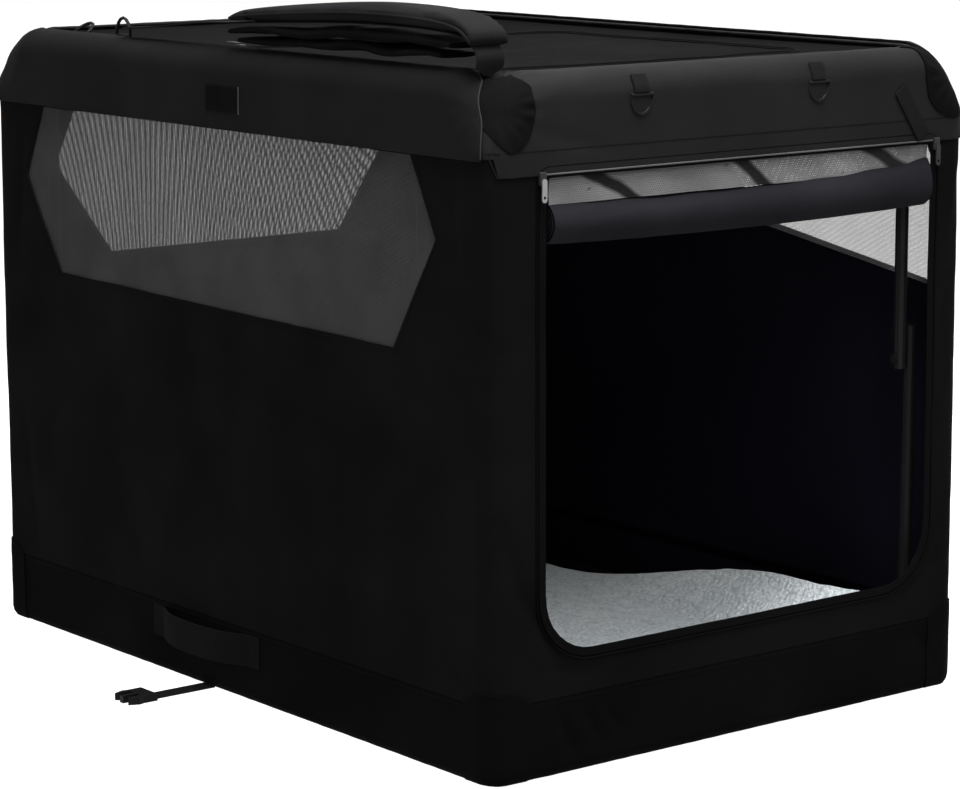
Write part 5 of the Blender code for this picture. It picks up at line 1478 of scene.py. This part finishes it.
def pad_stations():
    """Stations of the pad along the strap, with its own width and depth at each."""
    chosen = [p for p in strap_path if STRAP_FRONT + 0.004 < p.y < PAD_REAR and p.z > STRAP_LOW + 0.012]
    found = []
    for number, place in enumerate(chosen):
        share = number / (len(chosen) - 1)
        swell = math.sin(math.pi * share) ** 0.5 if 0 < share < 1 else 0.0
        depth = PAD_DEEP * (0.40 + 0.60 * swell)
        before, after = neighbours(chosen, number)
        out = Vector((1, 0, 0)).cross((after - before).normalized())
        out = -out if out.z < 0 else out
        middle = place + out * (0.0014 + depth * 0.58)
        found.append((middle, Vector((PAD_WIDE * (0.8 + 0.2 * swell), 0, 0)), out * depth))
    return found


stations = pad_stations()
pad = sweep("shoulder_pad_cover", stations, PAD_SECTION, PAD_CLOTH, smooth_angle=60)
puff(pad, 0.005, 0.0022)
pad.data.shade_smooth()
fasten(pad, "strap", ["shoulder_pad"])
print("pad:", len(stations), "stations along the strap")

# %% Its piping and its bound ends, laid on after the swelling
for name, side in (("left", -1), ("right", 1)):
    edge = [
        (middle + across * 0.48 * side, across.normalized(), out.normalized())
        for middle, across, out in stations
    ]
    fasten(sweep("pad_" + name + "_piping", edge, round_section(0.0016), DARK_PIPING), "strap")
for name, chosen in (("rear", stations[:3]), ("front", stations[-3:])):
    cuff = [(middle, across * 1.03, out * 1.12) for middle, across, out in chosen]
    binding = sweep("pad_" + name + "_binding", cuff, PAD_SECTION, WEBBING, smooth_angle=60)
    fasten(binding, "strap")

# %% The loose flap of the pad, folded in under the strap


def make_loose_fold(name, rear, front, drop, width, thick, sway):
    """A folded layer of pad cloth that hangs below the strap."""
    chosen = [p for p in strap_path if front < p.y < rear and p.z > STRAP_LOW]
    stations = []
    for number, place in enumerate(chosen):
        share = number / (len(chosen) - 1)
        rise = (place.z - HEIGHT) * (1 - drop)
        wave = 0.0030 * ripple(share * 7 + sway, 1.0, sway) * math.sin(math.pi * share)
        swell = 0.55 + 0.45 * math.sin(math.pi * share) + 0.25 * ripple(share * 9, sway, 3.0)
        middle = Vector((place.x + 0.5 * wave, place.y, HEIGHT + rise + wave))
        tilt = 0.25 * ripple(share * 5, sway, 7.0)
        across = Vector((math.cos(tilt), 0, math.sin(tilt)))
        out = Vector((-math.sin(tilt), 0, math.cos(tilt)))
        stations.append((middle, across * width * (0.9 + 0.1 * swell), out * thick * swell))
    fasten(sweep(name, stations, PAD_SECTION, SHADED_FOLD_CLOTH, smooth_angle=60), "strap")
    print(name, len(stations), "stations")


make_loose_fold("pad_upper_fold", -0.020, -0.452, 0.30, 0.062, 0.013, 1.0)
make_loose_fold("pad_lower_fold", -0.024, -0.432, 0.62, 0.056, 0.012, 4.0)

# %% The mat
MAT_HALF_X = 0.320
MAT_HALF_Y = 0.494
MAT_LOW = 0.0071
MAT_HIGH = MAT_LOW + 0.036
SWELL_ROOM = 0.012
TURN_START = 0.215
TURN_RISE = 0.106


def turned_up(x, y):
    """How far the mat's right-hand edge is pushed up by the wall, most of all near the door."""
    share = max(x - TURN_START, 0) / (MAT_HALF_X - TURN_START)
    return TURN_RISE * share ** 1.4 * (0.08 + 0.92 * smooth_step((0.16 - y) / 0.46))


def make_mat():
    shape = bmesh.new()
    made = bmesh.ops.create_cube(shape, size=1)["verts"]
    size = (2 * MAT_HALF_X - SWELL_ROOM, 2 * MAT_HALF_Y - SWELL_ROOM, 0.020)
    bmesh.ops.scale(shape, verts=made, vec=size)
    bmesh.ops.translate(shape, verts=made, vec=(0, 0, MAT_LOW + 0.013))
    upright = [edge for edge in shape.edges if abs(edge.verts[0].co.z - edge.verts[1].co.z) > 0.01]
    bmesh.ops.bevel(shape, geom=upright, offset=0.050, segments=6, profile=0.5, affect="EDGES", material=-1)
    mat = to_object(shape, "fleece_mat_cover", FLEECE)
    puff(mat, 0.008, SWELL_ROOM)
    for vert in mat.data.vertices:
        x, y, z = vert.co
        lump = 0.0012 * ripple(x * 30, y * 30, 1.0) + 0.0008 * ripple(x * 75, y * 75, 3.0)
        z += max(lump, -0.001) if z > MAT_LOW + 0.012 else 0
        vert.co.x = min(max(x, -MAT_HALF_X), MAT_HALF_X)
        vert.co.z = min(max(z, MAT_LOW), MAT_HIGH + 0.002) + turned_up(vert.co.x, y)
        vert.co.y = min(max(y, -MAT_HALF_Y), MAT_HALF_Y)
    finer = mat.modifiers.new("finer", "SUBSURF")
    finer.levels = 1
    finer.render_levels = 1
    mat.data.shade_smooth()
    fasten(mat, "base", ["fleece_mat"])
    print("mat:", len(mat.data.polygons), "faces before its last subdivision")


make_mat()

# %% [markdown]
# ## What stays from the CAD
# The tubes, legs, rings, buckles and zips are rigid and already have their right shape. They could be
# modelled again with finer edges, but the CAD nodes are exact, so they only get their finish.

# %% Materials on the CAD nodes
LEGS = [half + "_leg_" + corner for half in ("lower", "upper") for corner in CORNER_NAMES]
FINISHES = (
    (TUBE, ["base_frame", "top_frame"] + LEGS),
    (BOARD, ["floor_board"]),
    (BAND, ["base_floor"]),
    (MOULDING, ["front_left_ring", "front_right_ring", "side_ring", "strap_ring"]),
    (MOULDING, ["male_buckle", "female_buckle"]),
    (ZINC, ["left_zip_pull"]),
    (BLACK_ZINC, ["left_zip_slider", "right_zip_slider", "roof_zip_slider"]),
    (BLACK_ZINC, ["right_zip_pull", "roof_zip_pull"]),
)
for material, nodes in FINISHES:
    for node in nodes:
        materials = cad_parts[node].data.materials
        materials.clear()
        materials.append(material)
print("CAD nodes with a finish:", sum(len(nodes) for material, nodes in FINISHES))

# %% [markdown]
# ## Floor and light
# The photograph has a plain white background. Strong lamps could make a floor look white, but they would
# bleach the crate. So the floor and the world show white to the camera only, and light the crate as a
# soft studio would: lamps above, in front of the door and, weaker, on the long side, which stays darker.

# %% Floor


def white_to_camera(tree, ordinary, white):
    """Show one shader to the camera and in reflections, and another to all other rays."""
    path = add(tree, "ShaderNodeLightPath").outputs
    mirrored = reckon("MAXIMUM", path["Is Glossy Ray"], path["Is Transmission Ray"])
    seen = reckon("MAXIMUM", path["Is Camera Ray"], mirrored)
    return add(tree, "ShaderNodeMixShader", {0: seen, 1: ordinary, 2: white}).outputs[0]


def make_floor():
    shape = bmesh.new()
    bmesh.ops.create_grid(shape, x_segments=1, y_segments=1, size=12)
    bmesh.ops.translate(shape, verts=shape.verts, vec=(0, 0, -0.0005))
    material = bpy.data.materials.new("studio floor")
    material.use_nodes = True
    tree = material.node_tree
    shader = tree.nodes["Principled BSDF"]
    feed(shader.inputs["Base Color"], (0.30, 0.30, 0.30, 1))
    feed(shader.inputs["Roughness"], 0.9)
    feed(shader.inputs["Specular IOR Level"], 0.0)
    glow = add(tree, "ShaderNodeEmission", {"Strength": 1.0})
    both = add(tree, "ShaderNodeAddShader", {0: shader.outputs[0], 1: glow.outputs[0]})
    white = white_to_camera(tree, shader.outputs[0], both.outputs[0])
    feed(tree.nodes["Material Output"].inputs["Surface"], white)
    to_object(shape, "studio_floor", material)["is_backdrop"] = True


make_floor()

# %% World and lamps
WORLD_LIGHT = 0.24
world = bpy.data.worlds.new("studio")
bpy.context.scene.world = world
world.use_nodes = True
world.node_tree.nodes.clear()
soft, white = [
    add(world.node_tree, "ShaderNodeBackground", {"Color": (1, 1, 1, 1), "Strength": strength}).outputs[0]
    for strength in (WORLD_LIGHT, 1.0)
]
add(world.node_tree, "ShaderNodeOutputWorld", {"Surface": white_to_camera(world.node_tree, soft, white)})
# Each lamp's place, the point that it looks at, its size and its power.
LAMPS = {
    "key": ((1.0, -2.6, 3.2), (0, 0, 0.4), 1.6, 30),
    "top": ((-0.2, -0.8, 3.4), (0, 0, 0.5), 2.2, 380),
    "side": ((-3.6, -0.8, 1.8), (0, 0, 0.4), 2.0, 42),
    "doorway": ((-0.6, -2.5, 2.2), (0.05, -0.2, 0.15), 1.2, 34),
}
for name, (place, target, size, power) in LAMPS.items():
    light = bpy.data.lights.new(name, "AREA")
    light.size = size
    light.energy = power
    lamp = bpy.data.objects.new(name, light)
    lamp.location = place
    lamp.rotation_euler = (Vector(target) - Vector(place)).to_track_quat("-Z", "Y").to_euler()
    bpy.context.scene.collection.objects.link(lamp)
bpy.context.scene.view_settings.view_transform = "Standard"

# %% Print how far the visual box lies from the CAD box
VISUAL_BOX = [list(corner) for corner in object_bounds()]
for end, cad, visual in zip(("low", "high"), CAD_BOX, VISUAL_BOX):
    print(end, [round(b - a, 4) for a, b in zip(cad, visual)])
